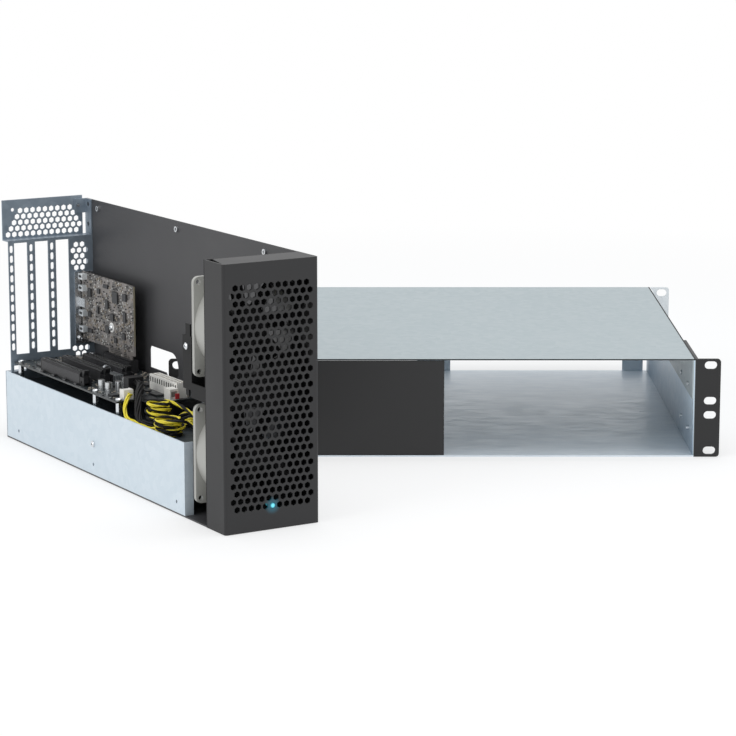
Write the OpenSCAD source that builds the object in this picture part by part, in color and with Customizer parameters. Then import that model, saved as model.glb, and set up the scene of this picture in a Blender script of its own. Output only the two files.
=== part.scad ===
// Rack-mount expansion chassis. An opened half-width module stands upright in
// front of the two-unit enclosure that it slides into. Millimetres, z up, with
// the origin at the centre of the enclosure's underside.
// Inside the module u runs across it, v from its face to its rear, w upwards.

/* [Rack enclosure] */
// Width of the enclosure body between the ears
encl_w = 438; // [430:1:443]
// Height of the enclosure, two rack units less the usual allowance
encl_h = 87.4; // [86.5:0.1:88.9]
// Depth of the enclosure from front edge to rear edge
encl_d = 392; // [392:1:520]
// Thickness of the galvanised enclosure sheet
encl_sheet = 1.2; // [0.8:0.1:2]
// Height of the lid's flange inside each side wall
lid_flange = 34.6; // [20:0.2:38]
// Width of a stop tab at the rear of the floor
stop_w = 21; // [10:1:30]
// Height of a stop tab above the floor
stop_h = 13; // [6:1:20]

/* [Rack ears] */
// Width over both front ears
rack_w = 482.6; // [481:0.1:486]
// Distance between the left and right columns of rack slots
rack_pitch = 465.1; // [464:0.1:466.5]
// Length of a rack slot
rack_slot_l = 11; // [8:0.5:12]
// Height of a rack slot
rack_slot_h = 7; // [6:0.1:8]
// Height of the lowest rack slot above the underside
rack_slot_z = 5.6; // [5.2:0.1:6]
// Rise between the two outer slots of one rack unit
unit_rise = 31.75; // [31.5:0.05:32]
// Rise between neighbouring slots of two rack units
unit_gap = 12.7; // [12:0.1:13]
// Thickness of the ear sheet
ear_t = 2.5; // [1.5:0.1:3]
// Depth of a front ear's leg along the side wall
ear_leg = 92; // [88:1:120]
// Width of a rear ear beyond the side wall
rear_ear_w = 20; // [19:0.5:22]
// Depth of a rear ear's leg along the side wall
rear_leg = 30; // [24:1:50]

/* [Module body] */
// Width of the module's sheet metal body
mod_w = 84; // [82:1:96]
// Height of the module when it stands upright
mod_h = 213; // [206:1:230]
// Depth of the module from its face to its rear panel
mod_d = 420; // [412:1:460]
// Thickness of the module's sheet
mod_sheet = 1.2; // [1:0.1:1.5]
// Turn of the standing module about the vertical
mod_yaw = 31.15; // [28:0.05:40]
// Free space between the module and the nearest ear corner
stand_clear = 4.8; // [3:0.1:40]
// Distance from the module's face to the nearest ear corner
stand_v = 269.7; // [240:0.1:300]

/* [Front bezel] */
// Width of the bezel
bezel_w = 84.4; // [84.4:0.1:100]
// Depth of the bezel's folded sides
bezel_d = 30; // [20:1:40]
// Thickness of the bezel sheet
bezel_t = 1.5; // [1:0.1:2]
// Distance across the corners of a six-sided hole
bezel_hole = 5.4; // [3.5:0.1:5.6]
// Spacing of the holes along a row
hole_pitch_u = 6.3; // [6:0.05:6.6]
// Spacing of the rows
hole_pitch_w = 6.24; // [6:0.02:6.5]

/* [Fans] */
// Outer size of a square fan
fan_size = 80; // [76:1:80]
// Thickness of a fan
fan_t = 25; // [20:1:28]
// Height of the lower fan's centre
fan_low_w = 54.3; // [50:0.1:58]
// Rise from the lower fan to the upper fan
fan_rise = 102; // [96:0.5:106]
// Spacing of a fan's corner holes
fan_hole_pitch = 71.5; // [68:0.1:72]
// Diameter of a rotor's hub
hub_d = 33; // [28:0.5:36]
// Number of blades
blade_count = 7; // [5:1:9]
// Pitch of a blade
blade_pitch = 38; // [30:1:45]

/* [Power bay] */
// Height of the power bay's outer wall
bay_wall_h = 61; // [58:0.5:64]
// Distance from the module's face to the front edge of that wall
bay_v = 68.5; // [64:0.5:80]
// Height of the tray's upper face
deck_w = 54; // [50:0.5:56]
// Width of the power supply
psu_w = 80.6; // [70:0.1:80.6]
// Height of the power supply
psu_h = 40.5; // [38:0.5:41]
// Length of the power supply
psu_l = 150; // [120:1:170]

/* [Expansion board] */
// Height of the board's upper face
board_w = 71.6; // [69:0.1:74]
// Thickness of the circuit boards
pcb_t = 1.6; // [1:0.1:2]
// Distance from the module's face to the board's front edge
board_v = 176; // [175.5:0.5:184]
// Spacing of the card slots
slot_pitch = 20.32; // [20:0.02:20.6]
// Length of a slot connector
conn_l = 89; // [80:1:92]
// Width of a slot connector
conn_w = 7.5; // [6.5:0.1:8.5]
// Height of a slot connector
conn_h = 11.2; // [10:0.1:12]
// Distance from the rear slots to the connectors
conn_back = 52; // [48:1:60]

/* [Rear panel] */
// Depth of the recess for the cards' brackets
rear_recess = 12; // [10:0.5:16]
// Width of a card slot opening
slot_open_w = 12.8; // [11:0.1:13.6]
// Lower edge of the card slot openings
slot_low_w = 77.5; // [75:0.5:80]
// Height of the vent plate above the shelf that the brackets screw to
vent_plate_h = 32; // [29:0.5:33]
// Spacing of the six-sided rear vents
vent_pitch = 6.1; // [5.8:0.1:6.4]
// Distance across the corners of a rear vent
vent_hole = 5.4; // [4:0.1:5.6]

/* [Host card] */
// Height of the host card's upper edge
host_top_w = 149; // [130:1:155]
// Length of the host card
host_l = 105; // [95:1:120]

/* [Power leads] */
// Diameter of a bundled auxiliary power lead
lead_d = 3.2; // [2.8:0.1:3.3]
// Free gap between neighbouring turns of a coiled lead
turn_gap = 0.5; // [0.45:0.05:0.6]
// Radius of the lower coil along the middle of its outer turn
coil_a_r = 12.5; // [12:0.1:12.8]
// Radius of the upper coil along the middle of its outer turn
coil_b_r = 11.2; // [10.8:0.1:11.4]

/* [Hidden] */
$fn = 48;
cut = 1;
seat_gap = 0.3;
run_gap = 0.2;

steel_black = "#2e2e30";
steel_bezel = "#3c3c3c";
zinc = "#c3ced6";
zinc_dark = "#8d99a3";
fan_grey = "#a0a09b";
board_dark = "#23282a";
plastic_black = "#1d1d1f";
plastic_white = "#e9e6dc";
bright_steel = "#d9dcde";
wire_yellow = "#e6d83a";

// Places shared by the enclosure's pieces
side_x = encl_w / 2;
front_y = -encl_d / 2;
back_y = encl_d / 2;
wall_top = encl_h - encl_sheet;
slot_heights = [
  rack_slot_z,
  rack_slot_z + unit_rise,
  rack_slot_z + unit_rise + unit_gap,
  rack_slot_z + 2 * unit_rise + unit_gap
];
ear_corner = 3;
ear_screw_y = [29, 81];
ear_screw_z = [20, 60];
rear_screw_y = 18;
screw_hole = 4.4;
m4_shank = 3.8;
m4_head_d = 7.4;
m4_head_h = 2.2;
m4_driver = 2.6;
m4_driver_depth = 1.2;
stop_inset = 4;
stop_corner = 3;
centre_stop_w = 34;
blank_gap = 0.4;
blank_t = 1.5;
blank_flange = 20;
blank_screw_x = 60;
blank_screw_y = 12;

// Places shared by the module's pieces
body_u0 = 1.7;
body_u1 = body_u0 + mod_w;
in_u0 = body_u0 + mod_sheet;
in_u1 = body_u1 - mod_sheet;
mid_u = (body_u0 + body_u1) / 2;
bezel_u0 = mid_u - bezel_w / 2;
frame_v = bezel_d;
body_v = frame_v + mod_sheet;
rear_v = mod_d - mod_sheet;
slot_v = mod_d - rear_recess;
nut_top_w = mod_h - 7;
nut_low_w = 10;
nut_place_shares = [0.198, 0.567, 0.938];
nut_places = [for (s = nut_place_shares) s * mod_d];
nut_d = 5;
nut_h = 1.6;
nut_bore = 2.6;
nut_hole = 3;
m3_shank = 2.6;
m3_head_d = 5.6;
m3_head_h = 2;
m3_hole = m3_shank + 2 * run_gap;
m3_driver = 2;

// Cable pass-through in the far side panel
pass_v = 239;
pass_w = 77;
pass_l = 55;
pass_h = 19.5;
pass_big_r = 13;
pass_small_r = 4;

// Front bezel
bezel_corner = 2.4;
hole_margin_u = 7;
hole_margin_w = 18;
hole_rows = floor((mod_h - 2 * hole_margin_w) / hole_pitch_w) + 1;
hole_long = floor((bezel_w - 2 * hole_margin_u) / hole_pitch_u) + 1;
relief_u = 6;
pipe_u = mid_u + (hole_long % 2) * hole_pitch_u / 2;
pipe_d = 4;
pipe_l = 8.4;
pipe_proud = 0.4;
pipe_flange_d = 6.8;
pipe_flange_t = 1.2;

// Fans
fan_v = body_v;
fan_flange = 3.6;
fan_corner = 5;
fan_bore = fan_size - 4;
fan_shroud = fan_size - 1;
fan_hole = 4.3;
tip_gap = 0.8;
spoke_w = 4;
spoke_t = 3;
motor_d = hub_d + 1;
motor_t = 3.4;
bearing_d = 7;
rotor_front = 1.6;
rotor_back_gap = 0.6;
hub_nose = 3;
blade_t = 1.4;
blade_chord = 21;
blade_camber = 34;
fan_screw_d = 3.6;
fan_screw_head = 6.6;
fan_screw_t = 1.8;
fan_screw_l = 9;
fan_centres = [fan_low_w, fan_low_w + fan_rise];

// Card retainer behind the fans
keep_u = 2.2;
keep_w0 = 105;
keep_w1 = 148;
keep_tongue_w = 157.6;
keep_tongue_inset = 2;
keep_tongue_l = 7.6;
keep_wide = 12;
keep_deep = 15;
keep_back = 2;
keep_arm_w0 = 99;
keep_arm_h = 12;
keep_arm_wide = 14;
keep_foot = 16;
keep_screw_w = 139.6;
keep_clip_h = 5;

// Power bay
tray_flange = 11;
bay_return = 8;
psu_vent_count = 9;
psu_vent_w = 2.4;
psu_vent_l = 22;
psu_vent_pitch = 5;
psu_vent_u = 18;
psu_vent_rise = 9;
psu_screw_w = 28;
psu_screw_v_share = 0.564;
psu_screw_v = psu_screw_v_share * mod_d;
psu_bore_deep = 5;
inlet_u = 22;
inlet_w = 22;
inlet_wide = 27.4;
inlet_high = 20;
inlet_rim_wide = 31;
inlet_rim_high = 24;
inlet_rim_t = 2.4;
inlet_deep = 9;
inlet_corner = 3;
inlet_well_wide = 24;
inlet_well_high = 16.6;
pin_wide = 2;
pin_high = 4;
pin_spread = 7;
pin_drop = 2;
psu_vent_centre = [62, 22];
psu_vent_rings = 3;
psu_vent_step = 5.6;
psu_vent_d = 4.2;
grommet_u = 53;
grommet_v0 = 128;
grommet_v1 = 154;
grommet_r = 5;
grommet_lip = 1.5;
grommet_rise = 1.4;

// Expansion board
board_u0 = in_u0 + 1.2;
board_u1 = in_u1 - 1.2;
board_back_v = slot_v - mod_sheet - 2;
notch_u = 27;
notch_v = 20;
standoff_d = 5.5;
standoff_edge = 4.4;
standoff_mid_v = 245;
slot_mid_u = 13.6;
conn_shift = 2.1;
conn_slot_w = 2.1;
conn_slot_deep = 8;
conn_rim = 2.2;
conn_chamfer = 0.8;
conn_rear_v = slot_v - conn_back;
conn_front_v = conn_rear_v - conn_l;
host_conn_l = 56;
latch_l = 8;
latch_wide = 4.6;
latch_h = 13.5;
latch_low = 1.2;
latch_pivot_up = 3.4;
latch_pivot_v = 4.4;
latch_pin_d = 1.8;
latch_pin_gap = 0.15;
latch_pin_reach = 1;
latch_nose_t = 2.2;
latch_thumb = 3;
cheek_t = 1.25;
cheek_h = 7.6;

// Headers, chips and capacitors, placed on the board by shares of its size
header_h = 13;
header_u = 58;
header_v = board_v + 5;
header_l = 51;
header_wide = 9.6;
header_cell = 4.2;
header_cell_deep = 9;
header_cell_open = 3.2;
small_head_l = 11;
small_head_wide = 8;
small_head_h = 9.4;
small_head_gap = 0.8;
small_head_wall = 1;
plug_black_l = 14;
plug_black_d = 10;
plug_black_h = 15;
plug_black_u = 31;
plug_black_back = 37;
plug_black_v = board_v + plug_black_back;
yellow_head_u = 12.4;
yellow_head_l = 9;
yellow_head_d = 8;
yellow_head_h = 8.4;
yellow_head_v = board_v + notch_v + 2.6;
cap_shares = [
  [0.18, 0.28], [0.18, 0.34], [0.30, 0.28], [0.46, 0.28],
  [0.46, 0.34], [0.57, 0.30], [0.84, 0.12], [0.84, 0.20]
];
cap_d = 6.3;
cap_h = 7.6;
cap_groove = 0.5;
chip_shares = [
  [0.12, 0.19, 0.10, 0.04], [0.35, 0.06, 0.12, 0.06], [0.36, 0.12, 0.06, 0.03],
  [0.52, 0.12, 0.10, 0.06], [0.52, 0.20, 0.06, 0.04], [0.67, 0.30, 0.09, 0.045],
  [0.30, 0.345, 0.07, 0.03], [0.80, 0.30, 0.06, 0.03], [0.22, 0.50, 0.08, 0.05],
  [0.22, 0.66, 0.06, 0.04], [0.48, 0.64, 0.08, 0.05], [0.48, 0.74, 0.05, 0.03],
  [0.735, 0.56, 0.07, 0.05], [0.735, 0.68, 0.05, 0.03], [0.90, 0.42, 0.06, 0.04],
  [0.15, 0.86, 0.08, 0.04], [0.36, 0.88, 0.10, 0.04], [0.60, 0.87, 0.10, 0.035],
  [0.80, 0.90, 0.06, 0.03], [0.022, 0.45, 0.025, 0.02], [0.022, 0.55, 0.025, 0.02],
  [0.022, 0.65, 0.025, 0.02], [0.022, 0.75, 0.025, 0.02]
];
chip_h = 1.6;
sink_u = 36.8;
sink_v_share = 0.415;
sink_v = board_v + sink_v_share * (board_back_v - board_v);
sink_wide = 10.6;
sink_l = 24;
sink_h = 6;
sink_base = 1.8;
sink_fins = 5;
clip_t = 1;
clip_wide = 3;
clip_r = 3.6;
fin_share = 0.5;

// Rear panel
shelf_w = mod_h - vent_plate_h;
slot_head = 2.5;
slot_open_h = shelf_w - slot_head - slot_low_w;
strip_pitch = 8.86;
strip_hole_w = 3.2;
strip_hole_h = 6.6;
strip_low_w = 84.6;
strip_head = 4;
strip_count = floor((shelf_w - strip_head - strip_low_w) / strip_pitch) + 1;
near_strip_u = 4.5;
patch_u = 71;
patch_drop = 18.7;
patch_top_w = shelf_w - patch_drop;
patch_low_w = 75;
rear_notch_w = 62;
rear_notch_h = 5.4;
rear_notch_l = 5;
rear_notch_u = [4.4, 11.4];
host_open_u = 14;
host_open_w0 = 92;
host_open_h = 52;
rear_tab_l = 12;
rear_tab_h = 13;
vent_rows = 5;
vent_first = 9;
vent_drop = 7.2;
vent_top_w = mod_h - vent_drop;
vent_plate_rise = 3;
vent_edge_gap = 5.2;
vent_screw_u = 75.6;
vent_spare_u = 11.9;
vent_screw_drop = 6;
vent_screw_w = mod_h - vent_screw_drop;
flange_hole_drops = [23, 5];
flange_hole_w = [for (d = flange_hole_drops) mod_h - d];

// Host card
host_u = slot_mid_u - conn_shift + 3 * slot_pitch;
host_back_v = slot_v - mod_sheet - 3;
host_front_v = host_back_v - host_l;
host_clear = 15;
host_low_w = board_w + host_clear;
finger_inset = 4;
finger_l = 46;
finger_float = 2.6;
bracket_t = 1;
bracket_wide = 18;
bracket_w0 = 82;
bracket_w1 = 148;
bracket_tab = 9;
bracket_tab_h = 8;
bracket_tab_w = 116;
port_l = 15;
port_wide = 3.4;
port_h = 9.2;
port_wall = 0.4;
port_w = [103.4, 128.7];
port_proud = 1;
host_screw_places = [[78, 138], [70, 87]];
host_chip_shares = [
  [0.16, 0.80, 0.07, 0.10], [0.16, 0.52, 0.05, 0.14], [0.18, 0.24, 0.05, 0.09],
  [0.34, 0.76, 0.10, 0.16], [0.40, 0.46, 0.06, 0.10], [0.34, 0.14, 0.05, 0.07],
  [0.50, 0.62, 0.05, 0.12], [0.50, 0.26, 0.07, 0.10], [0.52, 0.88, 0.09, 0.05],
  [0.66, 0.78, 0.05, 0.07], [0.68, 0.50, 0.03, 0.10], [0.84, 0.72, 0.06, 0.12],
  [0.84, 0.40, 0.05, 0.08], [0.84, 0.16, 0.08, 0.06]
];
host_chip_h = 1.2;
host_screw_v_share = 0.42;
host_screw_w_share = 0.31;

// Loose and held power leads, with routes given along u, v and w
coil_layers = 4;
coil_a_turns = 5.5;
coil_b_turns = 4.75;
coil_rings = 24;
coil_sides = 6;
tube_sides = 8;
black_d = 6.4;
yellow_d = 3.8;
lead_top = deck_w + grommet_rise;
lying_w = deck_w + seat_gap + black_d / 2;
coil_a_mid = [19, 129];
coil_b_mid = [27, 162];
coil_a_low = deck_w + seat_gap + lead_d / 2;
coil_b_low = lying_w + black_d / 2 + seat_gap + lead_d / 2;
aux_plug_wide = 17;
aux_plug_l = 22;
aux_plug_h = 10.4;
aux_plug_w = deck_w + seat_gap + aux_plug_h / 2;
aux_cell = 4.2;
aux_cell_open = 3;
aux_cell_deep = 8;
aux_latch_l = 13;
aux_latch_wide = 4;
aux_latch_t = 1.2;
plug_a_end = [35, 98];
plug_b_end = [60, 106];
black_exit_w = board_w + plug_black_h - 4.2;
black_route = [
  [plug_black_u, plug_black_v, black_exit_w],
  [plug_black_u, plug_black_v - black_d, black_exit_w],
  [29.4, 201, 82.8], [25.4, 194, 82.4], [20.4, 187, 78], [16.6, 180.6, 70.4],
  [14.2, 175.6, 62.6], [13.4, 170, 58], [14.4, 164, lying_w], [18, 158, lying_w],
  [25, 154, lying_w], [33, 152.4, lying_w], [41, 151, 58.6], [48, 150.2, 60.6],
  [53, 150, lead_top + black_d], [53, 150, lead_top]
];
yellow_head_mid = yellow_head_u + yellow_head_l / 2;
yellow_exit_w = board_w + yellow_head_h / 2;
yellow_route = [
  [yellow_head_mid, yellow_head_v, yellow_exit_w],
  [yellow_head_mid, yellow_head_v - yellow_d, yellow_exit_w],
  [13, 191.4, 76], [9, 188, 71.4], [6.8, 185.6, 65.6], [6, 181, 61],
  [6, 173, 59.8], [6.4, 165, 59], [8, 157, 57.8], [11, 150.6, 56.4],
  [16, 147.4, 56.3], [24, 146.4, 56.3], [33, 146, 56.6], [41, 145.6, 58.8],
  [47.4, 144.6, 61], [52, 143, lead_top + yellow_d], [52, 143, lead_top]
];
tail_a_in = [
  [53, 132.6, lead_top], [53, 132.6, lead_top + lead_d], [51, 133.6, 62],
  [46, 136.4, 61.6], [40, 139.4, 58.4],
  [coil_a_mid[0] + coil_a_r + lead_d, coil_a_mid[1] + coil_a_r, coil_a_low]
];
tail_b_in = [
  [53, 138, lead_top], [53, 138, lead_top + lead_d], [51.6, 140, 64],
  [48, 145, 66.4], [43, 149, 65.4],
  [coil_b_mid[0] + coil_b_r, coil_b_mid[1] - coil_b_r, coil_b_low]
];

// Turns the module to where it stands beside the enclosure
function turned(u, v) = [
  u * cos(mod_yaw) - v * sin(mod_yaw),
  u * sin(mod_yaw) + v * cos(mod_yaw)
];
stand = [-rack_w / 2, front_y] - turned(body_u1 + stand_clear, stand_v);

module in_module() {
  translate([stand[0], stand[1], 0])
    rotate([0, 0, mod_yaw])
      children();
}

// A flat sheet across the module's u, v or w direction
module sheet_u(u, t) {
  translate([u, 0, 0])
    rotate([90, 0, 90])
      linear_extrude(t)
        children();
}

module sheet_v(v, t) {
  translate([0, v + t, 0])
    rotate([90, 0, 0])
      linear_extrude(t)
        children();
}

module sheet_w(w, t) {
  translate([0, 0, w])
    linear_extrude(t)
      children();
}

// Outlines that keep true arcs
module soft_square(size, r) {
  translate([r, 0])
    square([size[0] - 2 * r, size[1]]);
  translate([0, r])
    square([size[0], size[1] - 2 * r]);
  for (a = [r, size[0] - r], b = [r, size[1] - r])
    translate([a, b])
      circle(r);
}

module long_hole(l, h) {
  square([l - h, h], center = true);
  for (s = [-1, 1])
    translate([s * (l - h) / 2, 0])
      circle(d = h);
}

module upright_hole(w, h) {
  square([w, h - w], center = true);
  for (s = [-1, 1])
    translate([0, s * (h - w) / 2])
      circle(d = w);
}

module six_hole(across) {
  rotate(30)
    circle(d = across, $fn = 6);
}

// A pan head screw that points down, with its head's underside at zero
module pan_screw(shank, head, head_h, driver, l) {
  difference() {
    union() {
      cylinder(d = head, h = head_h * 0.6);
      translate([0, 0, head_h * 0.6])
        cylinder(d1 = head, d2 = head * 0.62, h = head_h * 0.4);
      translate([0, 0, -l])
        cylinder(d = shank, h = l);
    }
    translate([0, 0, head_h * 0.45])
      cylinder(d = driver, h = head_h, $fn = 6);
  }
}

module m3(l) {
  pan_screw(m3_shank, m3_head_d, m3_head_h, m3_driver, l);
}

module m4(l) {
  pan_screw(m4_shank, m4_head_d, m4_head_h, m4_driver, l);
}

// Rack enclosure
module enclosure_floor() {
  color(zinc) {
    difference() {
      translate([-side_x, front_y, 0])
        cube([encl_w, encl_d, encl_sheet]);
      for (s = [-1, 1])
        translate([s * blank_screw_x + blank_mid_x, front_y + blank_screw_y, -cut])
          cylinder(d = screw_hole, h = encl_sheet + 2 * cut);
    }
    for (s = [-1, 1])
      floor_stop(s * (side_x - encl_sheet - stop_inset - stop_w / 2), stop_w);
    floor_stop(0, centre_stop_w);
  }
}

module floor_stop(x, w) {
  translate([x - w / 2, back_y, encl_sheet])
    rotate([90, 0, 0])
      linear_extrude(encl_sheet)
        difference() {
          translate([0, -stop_h])
            soft_square([w, 2 * stop_h], stop_corner);
          translate([-cut, -stop_h - cut])
            square([w + 2 * cut, stop_h + cut]);
        }
}

module side_wall(s) {
  color(zinc_dark)
    translate([s * (side_x - encl_sheet / 2), 0, 0])
      difference() {
        translate([-encl_sheet / 2, front_y, encl_sheet])
          cube([encl_sheet, encl_d, wall_top - encl_sheet]);
        side_bores();
      }
}

// Bores for the ears' screws, through the walls and whatever lies on them
module side_bores() {
  for (y = ear_screw_y, z = ear_screw_z)
    side_bore(front_y + y, z);
  for (z = ear_screw_z)
    side_bore(back_y - rear_screw_y, z);
}

module side_bore(y, z) {
  translate([0, y, z])
    rotate([0, 90, 0])
      cylinder(d = screw_hole, h = 4 * ear_t + 2 * cut, center = true);
}

module enclosure_lid() {
  color(zinc)
    union() {
      translate([-side_x, front_y, wall_top])
        cube([encl_w, encl_d, encl_sheet]);
      for (s = [-1, 1])
        difference() {
          translate([s * (side_x - 1.5 * encl_sheet) - encl_sheet / 2, front_y, wall_top - lid_flange])
            cube([encl_sheet, encl_d, lid_flange]);
          translate([s * (side_x - 1.5 * encl_sheet), 0, 0])
            side_bores();
        }
    }
}

blank_x0 = -side_x + 2 * encl_sheet + blank_gap;
blank_wide = -blank_gap - blank_x0;
blank_mid_x = blank_x0 + blank_wide / 2;
blank_h = wall_top - encl_sheet - 2 * blank_gap;

module blank_panel() {
  color(steel_black)
    difference() {
      translate([blank_x0, front_y, encl_sheet + blank_gap])
        union() {
          cube([blank_wide, blank_t, blank_h]);
          for (x = [0, blank_wide - blank_t])
            translate([x, 0, 0])
              cube([blank_t, blank_flange, blank_h]);
          cube([blank_wide, blank_flange, blank_t]);
        }
      for (s = [-1, 1])
        translate([blank_mid_x + s * blank_screw_x, front_y + blank_screw_y, 0])
          cylinder(d = screw_hole, h = encl_sheet + blank_t + cut);
    }
}

// A rack ear for the right side, mirrored for the left
module front_ear(s) {
  color(steel_black)
    scale([s, 1, 1])
      difference() {
        union() {
          translate([side_x, front_y + ear_t, 0])
            rotate([90, 0, 0])
              linear_extrude(ear_t)
                difference() {
                  translate([-ear_corner * 2, 0])
                    soft_square([rack_w / 2 - side_x + ear_corner * 2, encl_h], ear_corner);
                  translate([-ear_corner * 3, -cut])
                    square([ear_corner * 3, encl_h + 2 * cut]);
                  for (z = slot_heights)
                    translate([rack_pitch / 2 - side_x, z])
                      long_hole(rack_slot_l, rack_slot_h);
                }
          translate([side_x, front_y, 0])
            cube([ear_t, ear_leg, encl_h]);
        }
        translate([side_x, 0, 0])
          for (y = ear_screw_y, z = ear_screw_z)
            side_bore(front_y + y, z);
      }
}

module rear_ear(s) {
  color(zinc)
    scale([s, 1, 1])
      difference() {
        union() {
          translate([side_x, back_y, 0])
            rotate([90, 0, 0])
              linear_extrude(encl_sheet)
                difference() {
                  translate([-ear_corner * 2, 0])
                    soft_square([rear_ear_w + ear_corner * 2, encl_h], ear_corner);
                  translate([-ear_corner * 3, -cut])
                    square([ear_corner * 3, encl_h + 2 * cut]);
                  for (z = slot_heights)
                    translate([rack_pitch / 2 - side_x - cut, z])
                      long_hole(rack_slot_l - cut, rack_slot_h);
                }
          translate([side_x, back_y - rear_leg, 0])
            cube([encl_sheet, rear_leg, encl_h]);
        }
        translate([side_x, 0, 0])
          for (z = ear_screw_z)
            side_bore(back_y - rear_screw_y, z);
      }
}

module enclosure_screws() {
  color(bright_steel) {
    for (s = [-1, 1]) {
      for (y = ear_screw_y, z = ear_screw_z)
        side_screw(s, side_x + ear_t, front_y + y, z, ear_t + 3 * encl_sheet);
      for (z = ear_screw_z)
        side_screw(s, side_x + encl_sheet, back_y - rear_screw_y, z, 4 * encl_sheet);
      translate([
        blank_mid_x + s * blank_screw_x,
        front_y + blank_screw_y,
        encl_sheet + blank_gap + blank_t
      ])
        m4(encl_sheet + blank_t);
    }
  }
}

module side_screw(s, x, y, z, l) {
  translate([s * x, y, z])
    rotate([0, s * 90, 0])
      m4(l);
}

// Module: black body sheets
module base_plate() {
  color(steel_black) in_module()
    sheet_w(0, mod_sheet)
      translate([body_u0, body_v])
        square([in_u1 - body_u0, mod_d - body_v]);
}

module side_panel() {
  color(steel_black) in_module()
    sheet_u(in_u1, mod_sheet)
      difference() {
        translate([body_v, 0])
          square([rear_v - body_v, mod_h]);
        translate([pass_v, pass_w])
          pass_outline();
        for (v = nut_places)
          translate([v, nut_top_w])
            circle(d = nut_hole);
      }
}

// Opening with a straight foot, one large and one small rounded corner
module pass_outline() {
  square([pass_l, pass_h - pass_big_r]);
  translate([pass_big_r, 0])
    square([pass_l - pass_big_r - pass_small_r, pass_h]);
  translate([pass_big_r, pass_h - pass_big_r])
    circle(pass_big_r);
  translate([pass_big_r, 0])
    square([pass_l - pass_big_r, pass_h - pass_small_r]);
  translate([pass_l - pass_small_r, pass_h - pass_small_r])
    circle(pass_small_r);
}

module power_bay_wall() {
  color(zinc) in_module()
    difference() {
      union() {
        sheet_u(body_u0, mod_sheet)
          translate([bay_v, mod_sheet])
            square([rear_v - bay_v, bay_wall_h - mod_sheet]);
        translate([body_u0, bay_v, mod_sheet])
          cube([bay_return, mod_sheet, bay_wall_h - mod_sheet]);
      }
      for (v = nut_places)
        wall_bore(v, nut_low_w, nut_hole);
      wall_bore(psu_screw_v, psu_screw_w, m3_hole);
    }
}

module wall_bore(v, w, d) {
  translate([body_u0 - cut, v, w])
    rotate([0, 90, 0])
      cylinder(d = d, h = mod_sheet + 2 * cut);
}

module board_tray() {
  color(zinc_dark) in_module()
    difference() {
      union() {
        translate([in_u0, bay_v + mod_sheet, deck_w - mod_sheet])
          cube([in_u1 - in_u0, tray_l, mod_sheet]);
        for (u = [in_u0, in_u1 - mod_sheet])
          translate([u, bay_v + mod_sheet, deck_w - tray_flange])
            cube([mod_sheet, tray_l, tray_flange]);
      }
      translate([0, 0, deck_w - mod_sheet - cut])
        linear_extrude(mod_sheet + 2 * cut)
          grommet_outline(grommet_r);
      for (p = standoff_places)
        translate([p[0], p[1], deck_w - mod_sheet - cut])
          cylinder(d = m3_hole, h = mod_sheet + 2 * cut);
    }
}
tray_l = slot_v - mod_sheet - bay_v - mod_sheet;

module grommet_outline(r) {
  for (v = [grommet_v0, grommet_v1])
    translate([grommet_u, v])
      circle(r);
  translate([grommet_u - r, grommet_v0])
    square([2 * r, grommet_v1 - grommet_v0]);
}

// Rubber lining of the tray's cable hole, closed by a slit web that grips the leads
module cable_grommet() {
  color(plastic_black) in_module() {
    sheet_w(deck_w, grommet_rise)
      grommet_outline(grommet_r + grommet_lip);
    sheet_w(deck_w - mod_sheet, mod_sheet)
      grommet_outline(grommet_r - seat_gap);
    sheet_w(deck_w - mod_sheet - grommet_rise, grommet_rise)
      grommet_outline(grommet_r + grommet_lip);
  }
}

// Rear of the module
module rear_vent_plate() {
  color(zinc_dark) in_module()
    sheet_v(rear_v, mod_sheet)
      difference() {
        translate([body_u0, shelf_w - mod_sheet])
          square([mod_w - vent_edge_gap, vent_plate_h + vent_plate_rise + mod_sheet]);
        for (k = [0:vent_rows - 1])
          vent_row(k);
        for (u = [vent_screw_u, vent_spare_u])
          translate([u, vent_screw_w])
            circle(d = m3_hole + seat_gap);
      }
}

// Each row is one hole longer, and the last keeps the length of the one above
module vent_row(k) {
  n = min(vent_first + k, vent_first + vent_rows - 2);
  for (i = [0:n - 1])
    translate([
      mid_u + (i - (vent_first + k - 1) / 2) * vent_pitch,
      vent_top_w - k * vent_pitch * sin(60)
    ])
      six_hole(vent_hole);
}

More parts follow.
